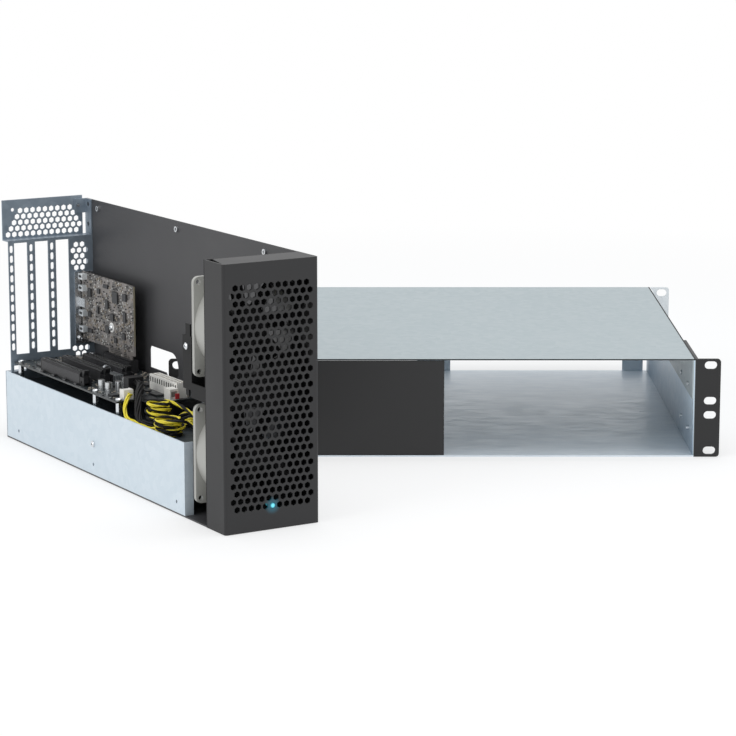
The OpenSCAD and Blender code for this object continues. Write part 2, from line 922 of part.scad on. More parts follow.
module rear_panel() {
  color(zinc_dark) in_module()
    union() {
      sheet_v(slot_v - mod_sheet, mod_sheet)
        difference() {
          union() {
            translate([body_u0, bay_wall_h])
              square([in_u1 - body_u0, shelf_w - bay_wall_h]);
            translate([in_u0, deck_w - mod_sheet])
              square([in_u1 - in_u0, bay_wall_h - deck_w + 2 * mod_sheet]);
          }
          for (k = [0:2])
            slot_opening(k);
          for (k = [0:2])
            slot_strip(k == 0 ? near_strip_u : slot_mid_u + (k - 0.5) * slot_pitch);
          rear_patches();
          for (u = rear_notch_u)
            translate([u, rear_notch_w])
              square([rear_notch_l, rear_notch_h]);
          translate([host_u + conn_shift - host_open_u / 2, host_open_w0])
            square([host_open_u, host_open_h]);
          for (p = host_screw_places)
            translate([p[0], p[1]])
              circle(d = m3_hole);
        }
      translate([body_u0, slot_v - mod_sheet, shelf_w - mod_sheet])
        cube([in_u1 - body_u0, rear_recess, mod_sheet]);
      difference() {
        translate([in_u1 - mod_sheet, slot_v - mod_sheet, bay_wall_h])
          cube([mod_sheet, rear_recess, mod_h - bay_wall_h]);
        for (w = flange_hole_w)
          translate([in_u1 - mod_sheet - cut, slot_v + rear_recess / 2 - mod_sheet, w])
            rotate([0, 90, 0])
              cylinder(d = screw_hole, h = mod_sheet + 2 * cut);
      }
      difference() {
        translate([in_u1 - rear_tab_l, rear_v - mod_sheet, mod_h - rear_tab_h])
          cube([rear_tab_l, mod_sheet, rear_tab_h]);
        translate([vent_screw_u, rear_v + cut, vent_screw_w])
          rotate([90, 0, 0])
            cylinder(d = m3_hole, h = mod_sheet + 2 * cut);
      }
    }
}

module slot_opening(k) {
  translate([slot_mid_u + k * slot_pitch - slot_open_w / 2, slot_low_w])
    square([slot_open_w, slot_open_h]);
}

module slot_strip(u) {
  for (i = [0:strip_count - 1])
    translate([u, strip_low_w + i * strip_pitch])
      upright_hole(strip_hole_w, strip_hole_h);
}

module rear_patches() {
  for (k = [-2:2])
    six_row(patch_top_w + k * vent_pitch * sin(60), k % 2 == 0 ? 2 : 3);
  six_row(patch_low_w + vent_pitch * sin(60) / 2, 3);
  six_row(patch_low_w - vent_pitch * sin(60) / 2, 2);
}

module six_row(w, n) {
  for (i = [0:n - 1])
    translate([patch_u + (i - (n - 1) / 2) * vent_pitch, w])
      six_hole(vent_hole);
}

module rear_lower_panel() {
  color(zinc_dark) in_module()
    union() {
      sheet_v(rear_v, mod_sheet)
        difference() {
          translate([body_u0, mod_sheet])
            square([mod_w, bay_wall_h - mod_sheet]);
          translate([inlet_u - inlet_wide / 2, inlet_w - inlet_high / 2])
            square([inlet_wide, inlet_high]);
          translate(psu_vent_centre)
            ring_vents();
        }
      translate([in_u0, slot_v, bay_wall_h - mod_sheet])
        cube([in_u1 - in_u0, rear_recess - mod_sheet, mod_sheet]);
    }
}

module ring_vents() {
  circle(d = psu_vent_d);
  for (k = [1:psu_vent_rings], a = [0:6 * k - 1])
    rotate(a * 60 / k)
      translate([k * psu_vent_step, 0])
        circle(d = psu_vent_d);
}

// Front of the module
frame_wide = max(bezel_w, mod_w);

module front_frame() {
  color(steel_black) in_module()
    sheet_v(frame_v, mod_sheet)
      difference() {
        translate([mid_u - frame_wide / 2, 0])
          square([frame_wide, mod_h]);
        for (w = fan_centres)
          translate([mid_u, w]) {
            circle(d = fan_bore);
            fan_corners()
              circle(d = fan_hole);
          }
      }
}

module fan_corners() {
  for (a = [-1, 1], b = [-1, 1])
    translate([a * fan_hole_pitch / 2, b * fan_hole_pitch / 2])
      children();
}

hole_rise = (hole_rows - 1) * hole_pitch_w;
hole_w0 = (mod_h - hole_rise) / 2;

module front_bezel() {
  color(steel_bezel) in_module()
    difference() {
      linear_extrude(mod_h)
        translate([bezel_u0, 0]) {
          translate([0, bezel_corner])
            square([bezel_w, bezel_d - bezel_corner]);
          translate([bezel_corner, 0])
            square([bezel_w - 2 * bezel_corner, bezel_corner]);
          for (u = [bezel_corner, bezel_w - bezel_corner])
            translate([u, bezel_corner])
              circle(bezel_corner);
        }
      translate([bezel_u0 + bezel_t, bezel_t, bezel_t])
        cube([bezel_w - 2 * bezel_t, bezel_d, mod_h - 2 * bezel_t]);
      sheet_v(-cut, bezel_t + 2 * cut)
        for (k = [0:hole_rows - 1])
          bezel_row(k);
      translate([bezel_u0, 0, mod_h - bezel_t - cut])
        linear_extrude(bezel_t + 2 * cut)
          polygon([
            [bezel_t, bezel_t * 2],
            [bezel_t + relief_u, bezel_d + cut],
            [bezel_t, bezel_d + cut]
          ]);
    }
}

// Rows of eleven and twelve holes by turns
module bezel_row(k) {
  n = k % 2 == 0 ? hole_long - 1 : hole_long;
  for (i = [0:n - 1])
    translate([mid_u + (i - (n - 1) / 2) * hole_pitch_u, hole_w0 + k * hole_pitch_w])
      six_hole(bezel_hole);
}

module light_pipe() {
  color("#7fe3f5") in_module()
    translate([pipe_u, -pipe_proud, hole_w0])
      rotate([-90, 0, 0]) {
        cylinder(d = pipe_d, h = pipe_l);
        translate([0, 0, pipe_proud + bezel_t])
          cylinder(d = pipe_flange_d, h = pipe_flange_t);
      }
}

// Fans: the frame's local z runs back from its front face
module at_fan(w) {
  in_module()
    translate([mid_u, fan_v, w])
      rotate([-90, 0, 0])
        children();
}

module fan_flange_plate() {
  linear_extrude(fan_flange)
    difference() {
      translate([-fan_size / 2, -fan_size / 2])
        soft_square([fan_size, fan_size], fan_corner);
      circle(d = fan_bore, $fn = 96);
      fan_corners()
        circle(d = fan_hole);
    }
}

module fan_frame(w) {
  color(fan_grey)
    at_fan(w)
      union() {
        fan_flange_plate();
        translate([0, 0, fan_t - fan_flange])
          fan_flange_plate();
        difference() {
          cylinder(d = fan_shroud, h = fan_t, $fn = 96);
          translate([0, 0, -cut])
            cylinder(d = fan_bore, h = fan_t + 2 * cut, $fn = 96);
        }
        translate([0, 0, fan_t - motor_t])
          cylinder(d = motor_d, h = motor_t);
        translate([0, 0, rotor_front + hub_nose + rotor_back_gap])
          cylinder(d = bearing_d, h = fan_t - motor_t - rotor_front - hub_nose - rotor_back_gap);
        for (a = [45:90:315])
          rotate(a)
            translate([motor_d / 2 - spoke_t, -spoke_w / 2, fan_t - spoke_t])
              cube([(fan_bore - motor_d) / 2 + spoke_t + (fan_shroud - fan_bore) / 4, spoke_w, spoke_t]);
      }
}

rotor_back = fan_t - motor_t - rotor_back_gap;

module fan_rotor(w) {
  color(plastic_black)
    at_fan(w)
      difference() {
        union() {
          translate([0, 0, rotor_front])
            cylinder(d1 = hub_d - hub_nose, d2 = hub_d, h = hub_nose / 2);
          translate([0, 0, rotor_front + hub_nose / 2])
            cylinder(d = hub_d, h = rotor_back - rotor_front - hub_nose / 2);
          for (i = [0:blade_count - 1])
            rotate(i * 360 / blade_count)
              fan_blade();
        }
        translate([0, 0, rotor_front + hub_nose])
          cylinder(d = bearing_d + 2 * seat_gap, h = fan_t);
      }
}

// A cambered blade cut from a thin tube that lies along the radius
module fan_blade() {
  intersection() {
    difference() {
      translate([0, 0, rotor_front + seat_gap])
        cylinder(d = fan_bore - 2 * tip_gap, h = rotor_back - rotor_front - seat_gap, $fn = 96);
      translate([0, 0, -cut])
        cylinder(d = hub_d - 2 * cut, h = fan_t);
    }
    translate([0, 0, (rotor_front + rotor_back) / 2])
      rotate([blade_pitch, 0, 0])
        translate([0, -blade_chord / 2, -blade_t])
          intersection() {
            cube([fan_bore / 2, blade_chord, blade_t + blade_chord]);
            translate([0, blade_chord / 2, blade_camber])
              rotate([0, 90, 0])
                difference() {
                  cylinder(r = blade_camber, h = fan_bore / 2, $fn = 96);
                  translate([0, 0, -cut])
                    cylinder(r = blade_camber - blade_t, h = fan_bore / 2 + 2 * cut, $fn = 96);
                }
          }
  }
}

module fan_screws() {
  color(plastic_black)
    for (w = fan_centres)
      at_fan(w)
        fan_corners()
          translate([0, 0, -mod_sheet])
            rotate([180, 0, 0])
              pan_screw(fan_screw_d, fan_screw_head, fan_screw_t, m3_driver, fan_screw_l);
}

// Upright channel that steadies the far ends of long cards, carried on an arm between the fans
module card_retainer() {
  keep_v = fan_v + fan_t + keep_back;
  color(steel_black) in_module()
    difference() {
      union() {
        translate([body_u0 + keep_u, keep_v, keep_w0])
          cube([mod_sheet, keep_deep, keep_w1 - keep_w0]);
        translate([body_u0 + keep_u, keep_v + keep_tongue_inset, keep_w1 - cut])
          cube([mod_sheet, keep_tongue_l, keep_tongue_w - keep_w1 + cut]);
        translate([body_u0 + keep_u, keep_v, keep_w0])
          cube([keep_wide, mod_sheet, keep_w1 - keep_w0]);
        translate([body_u0 + keep_u, keep_v + keep_deep - mod_sheet, keep_w0])
          cube([keep_wide / 2, mod_sheet, keep_w1 - keep_w0]);
        translate([body_u0 + keep_u, body_v, keep_arm_w0])
          cube([mod_sheet, keep_v - body_v + cut, keep_arm_h]);
        translate([body_u0 + keep_u, body_v, keep_arm_w0])
          cube([keep_foot, mod_sheet, keep_arm_h]);
        translate([body_u0 + keep_u, body_v, keep_arm_w0])
          cube([keep_arm_wide, keep_v - body_v + cut, mod_sheet]);
        translate([body_u0 + keep_u, keep_v + keep_deep / 3, keep_w0 - keep_clip_h])
          cube([mod_sheet, keep_deep / 3, keep_clip_h]);
      }
      translate([body_u0 + keep_u - cut, keep_v + keep_deep / 2, keep_screw_w])
        rotate([0, 90, 0])
          cylinder(d = m3_hole, h = mod_sheet + 2 * cut);
    }
}

// Fasteners of the module
module m3_screws() {
  color(bright_steel) in_module() {
    for (p = standoff_places)
      translate([p[0], p[1], board_w])
        m3(standoff_grip);
    translate([vent_screw_u, mod_d, vent_screw_w])
      rotate([-90, 0, 0])
        m3(3 * mod_sheet);
    for (p = host_screw_places)
      translate([p[0], slot_v - mod_sheet - bracket_t, p[1]])
        rotate([90, 0, 0])
          m3(3 * mod_sheet);
    translate([body_u0 + keep_u, fan_v + fan_t + keep_back + keep_deep / 2, keep_screw_w])
      rotate([0, -90, 0])
        m3(3 * mod_sheet);
    translate([body_u0, psu_screw_v, psu_screw_w])
      rotate([0, -90, 0])
        m3(2 * mod_sheet);
    translate([
      host_u - pcb_t / 2,
      host_front_v + host_screw_v_share * host_l,
      host_low_w + host_screw_w_share * (host_top_w - host_low_w)
    ])
      rotate([0, -90, 0])
        m3(pcb_t);
  }
}
standoff_grip = 6;

module clinch_nuts() {
  color(bright_steel) in_module()
    for (v = nut_places) {
      translate([in_u1 - nut_h, v, nut_top_w])
        clinch_nut();
      if (v < rear_v - psu_l)
        translate([in_u0, v, nut_low_w])
          clinch_nut();
    }
}

module clinch_nut() {
  rotate([0, 90, 0])
    difference() {
      cylinder(d = nut_d, h = nut_h);
      translate([0, 0, -cut])
        cylinder(d = nut_bore, h = nut_h + 2 * cut);
    }
}

// Power supply with slots in its front end and a round vent to the rear
module power_supply() {
  psu_u = (in_u0 + in_u1 - psu_w) / 2;
  color(zinc) in_module()
    difference() {
      translate([psu_u, rear_v - psu_l, mod_sheet])
        cube([psu_w, psu_l, psu_h]);
      for (i = [0:psu_vent_count - 1])
        translate([psu_vent_u + i * psu_vent_pitch, rear_v - psu_l - cut, psu_vent_rise])
          cube([psu_vent_w, psu_vent_w + cut, psu_vent_l]);
      translate([
        inlet_u - inlet_rim_wide / 2,
        rear_v - inlet_deep - seat_gap,
        inlet_w - inlet_rim_high / 2
      ])
        cube([inlet_rim_wide, inlet_deep + seat_gap + cut, inlet_rim_high]);
      translate([psu_vent_centre[0], rear_v - inlet_deep, psu_vent_centre[1]])
        rotate([-90, 0, 0])
          cylinder(r = (psu_vent_rings + 0.5) * psu_vent_step, h = inlet_deep + cut);
      translate([0, nut_places[2], nut_low_w])
        rotate([0, 90, 0])
          cylinder(d = nut_bore, h = psu_u + psu_bore_deep);
    }
}

module mains_inlet() {
  color(plastic_black) in_module()
    difference() {
      union() {
        sheet_v(mod_d, inlet_rim_t)
          translate([inlet_u - inlet_rim_wide / 2, inlet_w - inlet_rim_high / 2])
            soft_square([inlet_rim_wide, inlet_rim_high], inlet_corner);
        translate([
          inlet_u - inlet_wide / 2 + seat_gap,
          rear_v - inlet_deep,
          inlet_w - inlet_high / 2 + seat_gap
        ])
          cube([inlet_wide - 2 * seat_gap, inlet_deep + mod_sheet, inlet_high - 2 * seat_gap]);
      }
      difference() {
        translate([inlet_u, mod_d + inlet_rim_t + cut, inlet_w])
          rotate([90, 0, 0])
            linear_extrude(inlet_deep + cut)
              inlet_well();
        for (s = [-1, 0, 1])
          translate([
            inlet_u + s * pin_spread - pin_wide / 2,
            rear_v - inlet_deep,
            inlet_w - pin_high / 2 + (s == 0 ? pin_drop : -pin_drop)
          ])
            cube([pin_wide, inlet_deep, pin_high]);
      }
    }
}

module inlet_well() {
  polygon([
    [-inlet_well_wide / 2, -inlet_well_high / 2],
    [inlet_well_wide / 2, -inlet_well_high / 2],
    [inlet_well_wide / 2, inlet_well_high / 2 - inlet_corner],
    [inlet_well_wide / 2 - inlet_corner, inlet_well_high / 2],
    [-inlet_well_wide / 2 + inlet_corner, inlet_well_high / 2],
    [-inlet_well_wide / 2, inlet_well_high / 2 - inlet_corner]
  ]);
}

// Expansion board
board_l = board_back_v - board_v;
board_wide = board_u1 - board_u0;
standoff_places = [
  [board_u0 + standoff_edge, board_v + notch_v + standoff_edge],
  [board_u0 + standoff_edge, standoff_mid_v],
  [board_u0 + standoff_edge, board_back_v - standoff_edge],
  [board_u1 - standoff_edge, board_v + standoff_edge],
  [board_u1 - standoff_edge, standoff_mid_v],
  [board_u1 - standoff_edge, board_back_v - standoff_edge]
];

module expansion_board() {
  color(board_dark) in_module()
    sheet_w(board_w - pcb_t, pcb_t)
      difference() {
        translate([board_u0, board_v])
          square([board_wide, board_l]);
        translate([board_u0 - cut, board_v - cut])
          square([notch_u - board_u0 + cut, notch_v + cut]);
        for (p = standoff_places)
          translate(p)
            circle(d = m3_hole);
      }
}

module board_standoffs() {
  color(bright_steel) in_module()
    for (p = standoff_places)
      translate([p[0], p[1], deck_w])
        difference() {
          cylinder(d = standoff_d, h = board_w - pcb_t - deck_w, $fn = 6);
          translate([0, 0, board_w - pcb_t - deck_w - standoff_grip])
            cylinder(d = m3_hole, h = standoff_grip + cut);
        }
}

module slot_connector(k) {
  u = slot_mid_u - conn_shift + k * slot_pitch;
  color(plastic_black) in_module()
    translate([u, 0, board_w]) {
      difference() {
        translate([-conn_w / 2, conn_front_v + latch_l, 0])
          cube([conn_w, conn_l - latch_l, conn_h]);
        translate([-conn_slot_w / 2, conn_front_v + latch_l - cut, conn_h - conn_slot_deep])
          cube([conn_slot_w, conn_l - latch_l - conn_rim + cut, conn_slot_deep + cut]);
        for (s = [-1, 1])
          translate([s * conn_w / 2, conn_front_v, conn_h])
            rotate([0, 45, 0])
              cube([2 * conn_chamfer, 3 * conn_l, 2 * conn_chamfer], center = true);
      }
      for (s = [-1, 1])
        difference() {
          translate([s * (conn_w - cheek_t) / 2 - cheek_t / 2, conn_front_v, 0])
            cube([cheek_t, latch_l, cheek_h]);
          translate([s * conn_w / 2, conn_front_v + latch_pivot_v, latch_pivot_up])
            rotate([0, 90, 0])
              cylinder(d = latch_pin_d + 2 * latch_pin_gap, h = 3 * cheek_t, center = true, $fn = 24);
        }
    }
}

// Retaining latch at a connector's front end, on stub pins in the connector's cheeks
module slot_latch(k) {
  u = slot_mid_u - conn_shift + k * slot_pitch;
  color(plastic_black) in_module()
    translate([u, conn_front_v, board_w]) {
      translate([-latch_wide / 2, 0, 0])
        rotate([90, 0, 90])
          linear_extrude(latch_wide)
            latch_outline();
      translate([0, latch_pivot_v, latch_pivot_up])
        rotate([0, 90, 0])
          cylinder(d = latch_pin_d, h = latch_wide + 2 * latch_pin_reach, center = true, $fn = 24);
    }
}

module latch_outline() {
  polygon([
    [latch_pivot_v - latch_nose_t, latch_low + latch_nose_t / 2],
    [latch_pivot_v, latch_low],
    [latch_pivot_v + latch_nose_t, latch_low + latch_nose_t / 2],
    [latch_pivot_v + latch_nose_t, latch_h - latch_nose_t],
    [latch_pivot_v + latch_nose_t / 2, latch_h],
    [latch_pivot_v - latch_thumb, latch_h],
    [latch_pivot_v - latch_thumb, latch_h - latch_nose_t / 2],
    [latch_pivot_v - latch_nose_t / 2, latch_h - 2 * latch_nose_t]
  ]);
}

module host_connector() {
  color(plastic_black) in_module()
    difference() {
      translate([host_u - conn_w / 2, conn_rear_v - host_conn_l, board_w])
        cube([conn_w, host_conn_l, conn_h]);
      translate([host_u - conn_slot_w / 2, conn_rear_v - host_conn_l + conn_rim, board_w + conn_h - conn_slot_deep])
        cube([conn_slot_w, host_conn_l - 2 * conn_rim, conn_slot_deep + cut]);
    }
}

// White power header with two rows of cells, and a small white header beside it that opens forwards
small_head_u = header_u - header_wide / 2 - small_head_gap - small_head_wide;
small_head_v = board_v + seat_gap;

module power_header() {
  color(plastic_white) in_module() {
    difference() {
      translate([header_u - header_wide / 2, header_v, board_w])
        cube([header_wide, header_l, header_h]);
      for (i = [0:floor(header_l / header_cell) - 1], s = [-1, 1])
        translate([
          header_u + s * header_cell / 2 - header_cell_open / 2,
          header_v + (i + 0.6) * header_cell - header_cell_open / 2,
          board_w + header_h - header_cell_deep
        ])
          cube([header_cell_open, header_cell_open, header_cell_deep + cut]);
    }
    difference() {
      translate([small_head_u, small_head_v, board_w])
        cube([small_head_wide, small_head_l, small_head_h]);
      translate([small_head_u + small_head_wall, small_head_v - cut, board_w + 2 * small_head_wall])
        cube([
          small_head_wide - 2 * small_head_wall,
          small_head_l - 2 * small_head_wall,
          small_head_h - 4 * small_head_wall
        ]);
    }
  }
}

// Side-entry header of the yellow lead
module lead_header() {
  color(plastic_white) in_module()
    translate([yellow_head_u, yellow_head_v, board_w])
      difference() {
        cube([yellow_head_l, yellow_head_d, yellow_head_h]);
        translate([
          small_head_wall,
          yellow_head_d - 2 * small_head_wall,
          yellow_head_h / 2
        ])
          cube([yellow_head_l - 2 * small_head_wall, 2 * small_head_wall + cut, yellow_head_h]);
      }
}

// Plug of the black lead
module board_plug() {
  color(plastic_black) in_module()
    translate([plug_black_u - plug_black_l / 2, plug_black_v, board_w])
      cube([plug_black_l, plug_black_d, plug_black_h]);
}

module capacitors() {
  color(bright_steel) in_module()
    for (s = cap_shares)
      translate([board_u0 + s[0] * board_wide, board_v + s[1] * board_l, board_w])
        union() {
          cylinder(d = cap_d, h = cap_groove * 2);
          translate([0, 0, cap_groove * 2])
            cylinder(d = cap_d - cap_groove, h = cap_groove);
          translate([0, 0, cap_groove * 3])
            cylinder(d = cap_d, h = cap_h - cap_groove * 3);
        }
}

module board_chips() {
  color(plastic_black) in_module()
    for (s = chip_shares)
      translate([
        board_u0 + (s[0] - s[2] / 2) * board_wide,
        board_v + (s[1] - s[3] / 2) * board_l,
        board_w
      ])
        cube([s[2] * board_wide, s[3] * board_l, chip_h]);
}

module heatsink() {
  fin_step = sink_wide / (sink_fins - 1 + fin_share);
  color(bright_steel) in_module()
    translate([sink_u, sink_v, board_w])
      union() {
        cube([sink_wide, sink_l, sink_base]);
        for (i = [0:sink_fins - 1])
          translate([i * fin_step, 0, 0])
            cube([fin_step * fin_share, sink_l - clip_wide - 2 * clip_t, sink_h]);
        translate([sink_wide / 2, sink_l - clip_wide / 2, sink_base])
          sink_clip();
      }
}

// Arched spring clip over the base of the heat sink
module sink_clip() {
  translate([0, clip_wide / 2, 0])
    rotate([90, 0, 0])
      linear_extrude(clip_wide)
        difference() {
          union() {
            translate([0, sink_h])
              circle(clip_r);
            translate([-clip_r, 0])
              square([2 * clip_r, sink_h]);
          }
          translate([0, sink_h])
            circle(clip_r - clip_t);
          translate([clip_t - clip_r, -cut])
            square([2 * (clip_r - clip_t), sink_h + cut]);
        }
}

// Host card
module host_card() {
  color(board_dark) in_module()
    sheet_u(host_u - pcb_t / 2, pcb_t)
      difference() {
        union() {
          translate([host_front_v, host_low_w])
            square([host_l, host_top_w - host_low_w]);
          translate([host_finger_v, board_w + conn_h - conn_slot_deep + finger_float])
            square([finger_l, host_low_w - board_w - conn_h + conn_slot_deep - finger_float + cut]);
        }
        translate([
          host_front_v + host_screw_v_share * host_l,
          host_low_w + host_screw_w_share * (host_top_w - host_low_w)
        ])
          circle(d = m3_hole);
      }
}
host_finger_v = conn_rear_v - host_conn_l + finger_inset;

module host_bracket() {
  bracket_v = slot_v - mod_sheet - bracket_t;
  color(bright_steel) in_module()
    union() {
      sheet_v(bracket_v, bracket_t)
        difference() {
          translate([host_u + conn_shift - bracket_wide / 2, bracket_w0])
            square([bracket_wide, bracket_w1 - bracket_w0]);
          for (w = port_w)
            translate([host_u + pcb_t / 2 - seat_gap, w - port_h / 2 - seat_gap])
              square([port_wide + 2 * seat_gap, port_h + 2 * seat_gap]);
          for (p = host_screw_places)
            translate([p[0], p[1]])
              circle(d = m3_hole);
        }
      translate([host_u - pcb_t / 2 - bracket_t, bracket_v - bracket_tab, bracket_tab_w])
        cube([bracket_t, bracket_tab + bracket_t, bracket_tab_h]);
    }
}

module host_ports() {
  color(bright_steel) in_module()
    for (w = port_w)
      translate([host_u + pcb_t / 2, slot_v + port_proud - port_l, w - port_h / 2])
        difference() {
          cube([port_wide, port_l, port_h]);
          translate([port_wall, port_l / 3, port_wall])
            cube([port_wide - 2 * port_wall, port_l, port_h - 2 * port_wall]);
        }
}

module host_chips() {
  color(plastic_black) in_module()
    for (s = host_chip_shares)
      translate([
        host_u - pcb_t / 2 - host_chip_h,
        host_front_v + (s[0] - s[2] / 2) * host_l,
        host_low_w + (s[1] - s[3] / 2) * (host_top_w - host_low_w)
      ])
        cube([host_chip_h, s[2] * host_l, s[3] * (host_top_w - host_low_w)]);
}

// Sweeping of leads
function unit(a) = a / norm(a);
function way(p, i) = unit(p[min(i + 1, len(p) - 1)] - p[max(i - 1, 0)]);
function square_to(a, t) = unit(a - (a * t) * t);
function curve_point(a, b, c, d, t) =
  0.5 * (2 * b + (c - a) * t + (2 * a - 5 * b + 4 * c - d) * t * t + (3 * b - a - 3 * c + d) * t * t * t);
function smooth(p, steps) = [
  for (i = [0:len(p) - 2], k = [0:steps - 1])
    curve_point(p[max(i - 1, 0)], p[i], p[i + 1], p[min(i + 2, len(p) - 1)], k / steps),
  p[len(p) - 1]
];
function lead_path(p, steps) = concat(
  [p[0]],
  smooth([for (i = [1:len(p) - 2]) p[i]], steps),
  [p[len(p) - 1]]
);
function run_length(p) = [for (i = [1:len(p) - 1]) norm(p[i] - p[i - 1])] * [for (i = [1:len(p) - 1]) 1];

// One tube along the points p, with a fixed number of sides
module lead_tube(p, d, sides, first) {
  n = len(p);
  ways = [for (i = [0:n - 1]) way(p, i)];
  sides_dir = [
    for (i = 0, a = square_to(first, ways[0]); i < n; i = i + 1, a = i < n ? square_to(a, ways[i]) : a) a
  ];
  rings = [
    for (i = [0:n - 1], k = [0:sides - 1])
      p[i] + d / 2 * (cos(k * 360 / sides) * sides_dir[i] + sin(k * 360 / sides) * cross(ways[i], sides_dir[i]))
  ];
  skin = [
    for (i = [0:n - 2], k = [0:sides - 1], half = [0, 1])
      let (a = i * sides + k, b = i * sides + (k + 1) % sides)
        half == 0 ? [a, a + sides, b] : [b, a + sides, b + sides]
  ];
  near_cap = [for (k = [1:sides - 2]) [0, k, k + 1]];
  far = (n - 1) * sides;
  far_cap = [for (k = [1:sides - 2]) [far, far + k + 1, far + k]];
  polyhedron(rings, concat(skin, near_cap, far_cap));
}

// Turns that spiral in and out again, climbing a layer in the half turn where they reverse
function back_and_forth(x) = abs(x - 2 * floor((x + 1) / 2));
coil_half = 0.18;
function coil_rise(x) =
  let (k = round(x), f = (x - k) / (2 * coil_half))
    (k < 1 || k > coil_layers - 1) ? (x < 1 ? 0 : coil_layers - 1)
    : k - 1 + min(1, max(0, f + 0.5));
function coil_path(mid, low, r, turns, from, turn_way) = [
  for (i = [0:turns * coil_rings])
    let (
      t = i / coil_rings,
      x = t * coil_layers / turns,
      step = lead_d + turn_gap,
      radius = r - step * turns / coil_layers * back_and_forth(x),
      a = from + turn_way * 360 * t
    )
      [mid[0] + radius * cos(a), mid[1] + radius * sin(a), low + step * coil_rise(x)]
];
function least_gap(p, d, apart) = min([
  for (i = [0:len(p) - 1 - apart], j = [i + apart:len(p) - 1]) norm(p[i] - p[j])
]) - d;

coil_a = coil_path(coil_a_mid, coil_a_low, coil_a_r, coil_a_turns, 90, 1);
coil_b = coil_path(coil_b_mid, coil_b_low, coil_b_r, coil_b_turns, 270, -1);
coil_a_last = coil_a[len(coil_a) - 1];
coil_b_last = coil_b[len(coil_b) - 1];

tail_a_start = concat(tail_a_in, [coil_a[0] + [lead_d, 0, 0]]);
tail_b_start = concat(tail_b_in, [coil_b[0] + [lead_d, 0, 0]]);
tail_a_out = concat([coil_a_last + [lead_d, 0, 0], coil_a_last + [2 * lead_d, 0, 0]], [
  [29.6, 115.6, 65.6], [33.4, 112.6, 62.8], [plug_a_end[0], 107.6, 60.4],
  [plug_a_end[0], plug_a_end[1] + lead_d, aux_plug_w],
  [plug_a_end[0], plug_a_end[1], aux_plug_w]
]);
tail_b_out = concat([coil_b_last - [0, lead_d, 0], coil_b_last - [0, 2 * lead_d, 0]], [
  [39.2, 148, 73], [41, 139, 70.6], [44.4, 131, 66.4], [49.6, 123.4, 62.4],
  [55.4, 117, 60.2], [plug_b_end[0], 111.6, 59.8],
  [plug_b_end[0], plug_b_end[1] + lead_d, aux_plug_w],
  [plug_b_end[0], plug_b_end[1], aux_plug_w]
]);
tail_steps = 2;
held_steps = 2;

module aux_lead_tube(tail_in, tail_out) {
  color(wire_yellow) in_module() {
    lead_tube(lead_path(tail_in, tail_steps), lead_d, tube_sides, [0, 1, 0]);
    lead_tube(lead_path(tail_out, tail_steps), lead_d, tube_sides, [0, 0, 1]);
  }
}

module aux_lead_coil(path, tail_in, tail_out) {
  whole = concat([tail_in[len(tail_in) - 1]], path, [tail_out[0]]);
  echo(least_gap = least_gap(path, lead_d, coil_rings / 2), length = run_length(whole));
  color(wire_yellow) in_module()
    lead_tube(whole, lead_d, coil_sides, [0, 0, 1]);
}

// Eight-way plug with its wires at the end nearest the coil
module aux_plug(place) {
  color(plastic_black) in_module()
    translate([place[0], place[1] - aux_plug_l, aux_plug_w]) {
      difference() {
        translate([-aux_plug_wide / 2, 0, -aux_plug_h / 2])
          cube([aux_plug_wide, aux_plug_l, aux_plug_h]);
        for (i = [-1.5:1.5], s = [-1, 1])
          translate([
            i * aux_cell - aux_cell_open / 2,
            -cut,
            s * aux_cell / 2 - aux_cell_open / 2
          ])
            cube([aux_cell_open, aux_cell_deep + cut, aux_cell_open]);
      }
      translate([-aux_latch_wide / 2, aux_latch_t, aux_plug_h / 2])
        cube([aux_latch_wide, aux_latch_l, aux_latch_t]);
    }
}

module board_lead(route, d, shade) {
  color(shade) in_module()
    lead_tube(lead_path(route, held_steps), d, tube_sides, [1, 0, 0]);
}

enclosure_floor();
side_wall(-1);  // side_wall_left
side_wall(1);  // side_wall_right
enclosure_lid();
blank_panel();
front_ear(-1);  // front_ear_left
front_ear(1);  // front_ear_right
rear_ear(-1);  // rear_ear_left
rear_ear(1);  // rear_ear_right
enclosure_screws();
base_plate();
side_panel();
power_bay_wall();
board_tray();
rear_vent_plate();
rear_panel();
rear_lower_panel();
front_frame();
front_bezel();
light_pipe();
fan_frame(fan_centres[0]);  // fan_frame_lower
fan_frame(fan_centres[1]);  // fan_frame_upper
fan_rotor(fan_centres[0]);  // fan_rotor_lower
fan_rotor(fan_centres[1]);  // fan_rotor_upper
fan_screws();
card_retainer();
m3_screws();
clinch_nuts();
power_supply();
mains_inlet();
cable_grommet();
expansion_board();
board_standoffs();
slot_connector(0);  // slot_connector_1
slot_connector(1);  // slot_connector_2
slot_connector(2);  // slot_connector_3
host_connector();
slot_latch(0);  // slot_latch_1
slot_latch(1);  // slot_latch_2
slot_latch(2);  // slot_latch_3
power_header();
lead_header();
board_plug();
capacitors();
board_chips();
heatsink();
host_card();
host_bracket();
host_ports();
host_chips();
board_lead(black_route, black_d, plastic_black);  // board_lead_black
board_lead(yellow_route, yellow_d, wire_yellow);  // board_lead_yellow
aux_lead_tube(tail_a_start, tail_a_out);  // aux_lead_a_tube
aux_lead_coil(coil_a, tail_a_start, tail_a_out);  // aux_lead_a_coil
aux_plug(plug_a_end);  // aux_plug_a
aux_lead_tube(tail_b_start, tail_b_out);  // aux_lead_b_tube
aux_lead_coil(coil_b, tail_b_start, tail_b_out);  // aux_lead_b_coil
aux_plug(plug_b_end);  // aux_plug_b
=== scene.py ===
# %% [markdown]
# # An opened expansion module and its rack enclosure
# A half-width sheet metal module stands upright with its cover off, in front of the two-unit enclosure that
# it slides into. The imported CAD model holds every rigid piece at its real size, so this script adds finishes,
# wires and the small electronics that a circuit board carries.

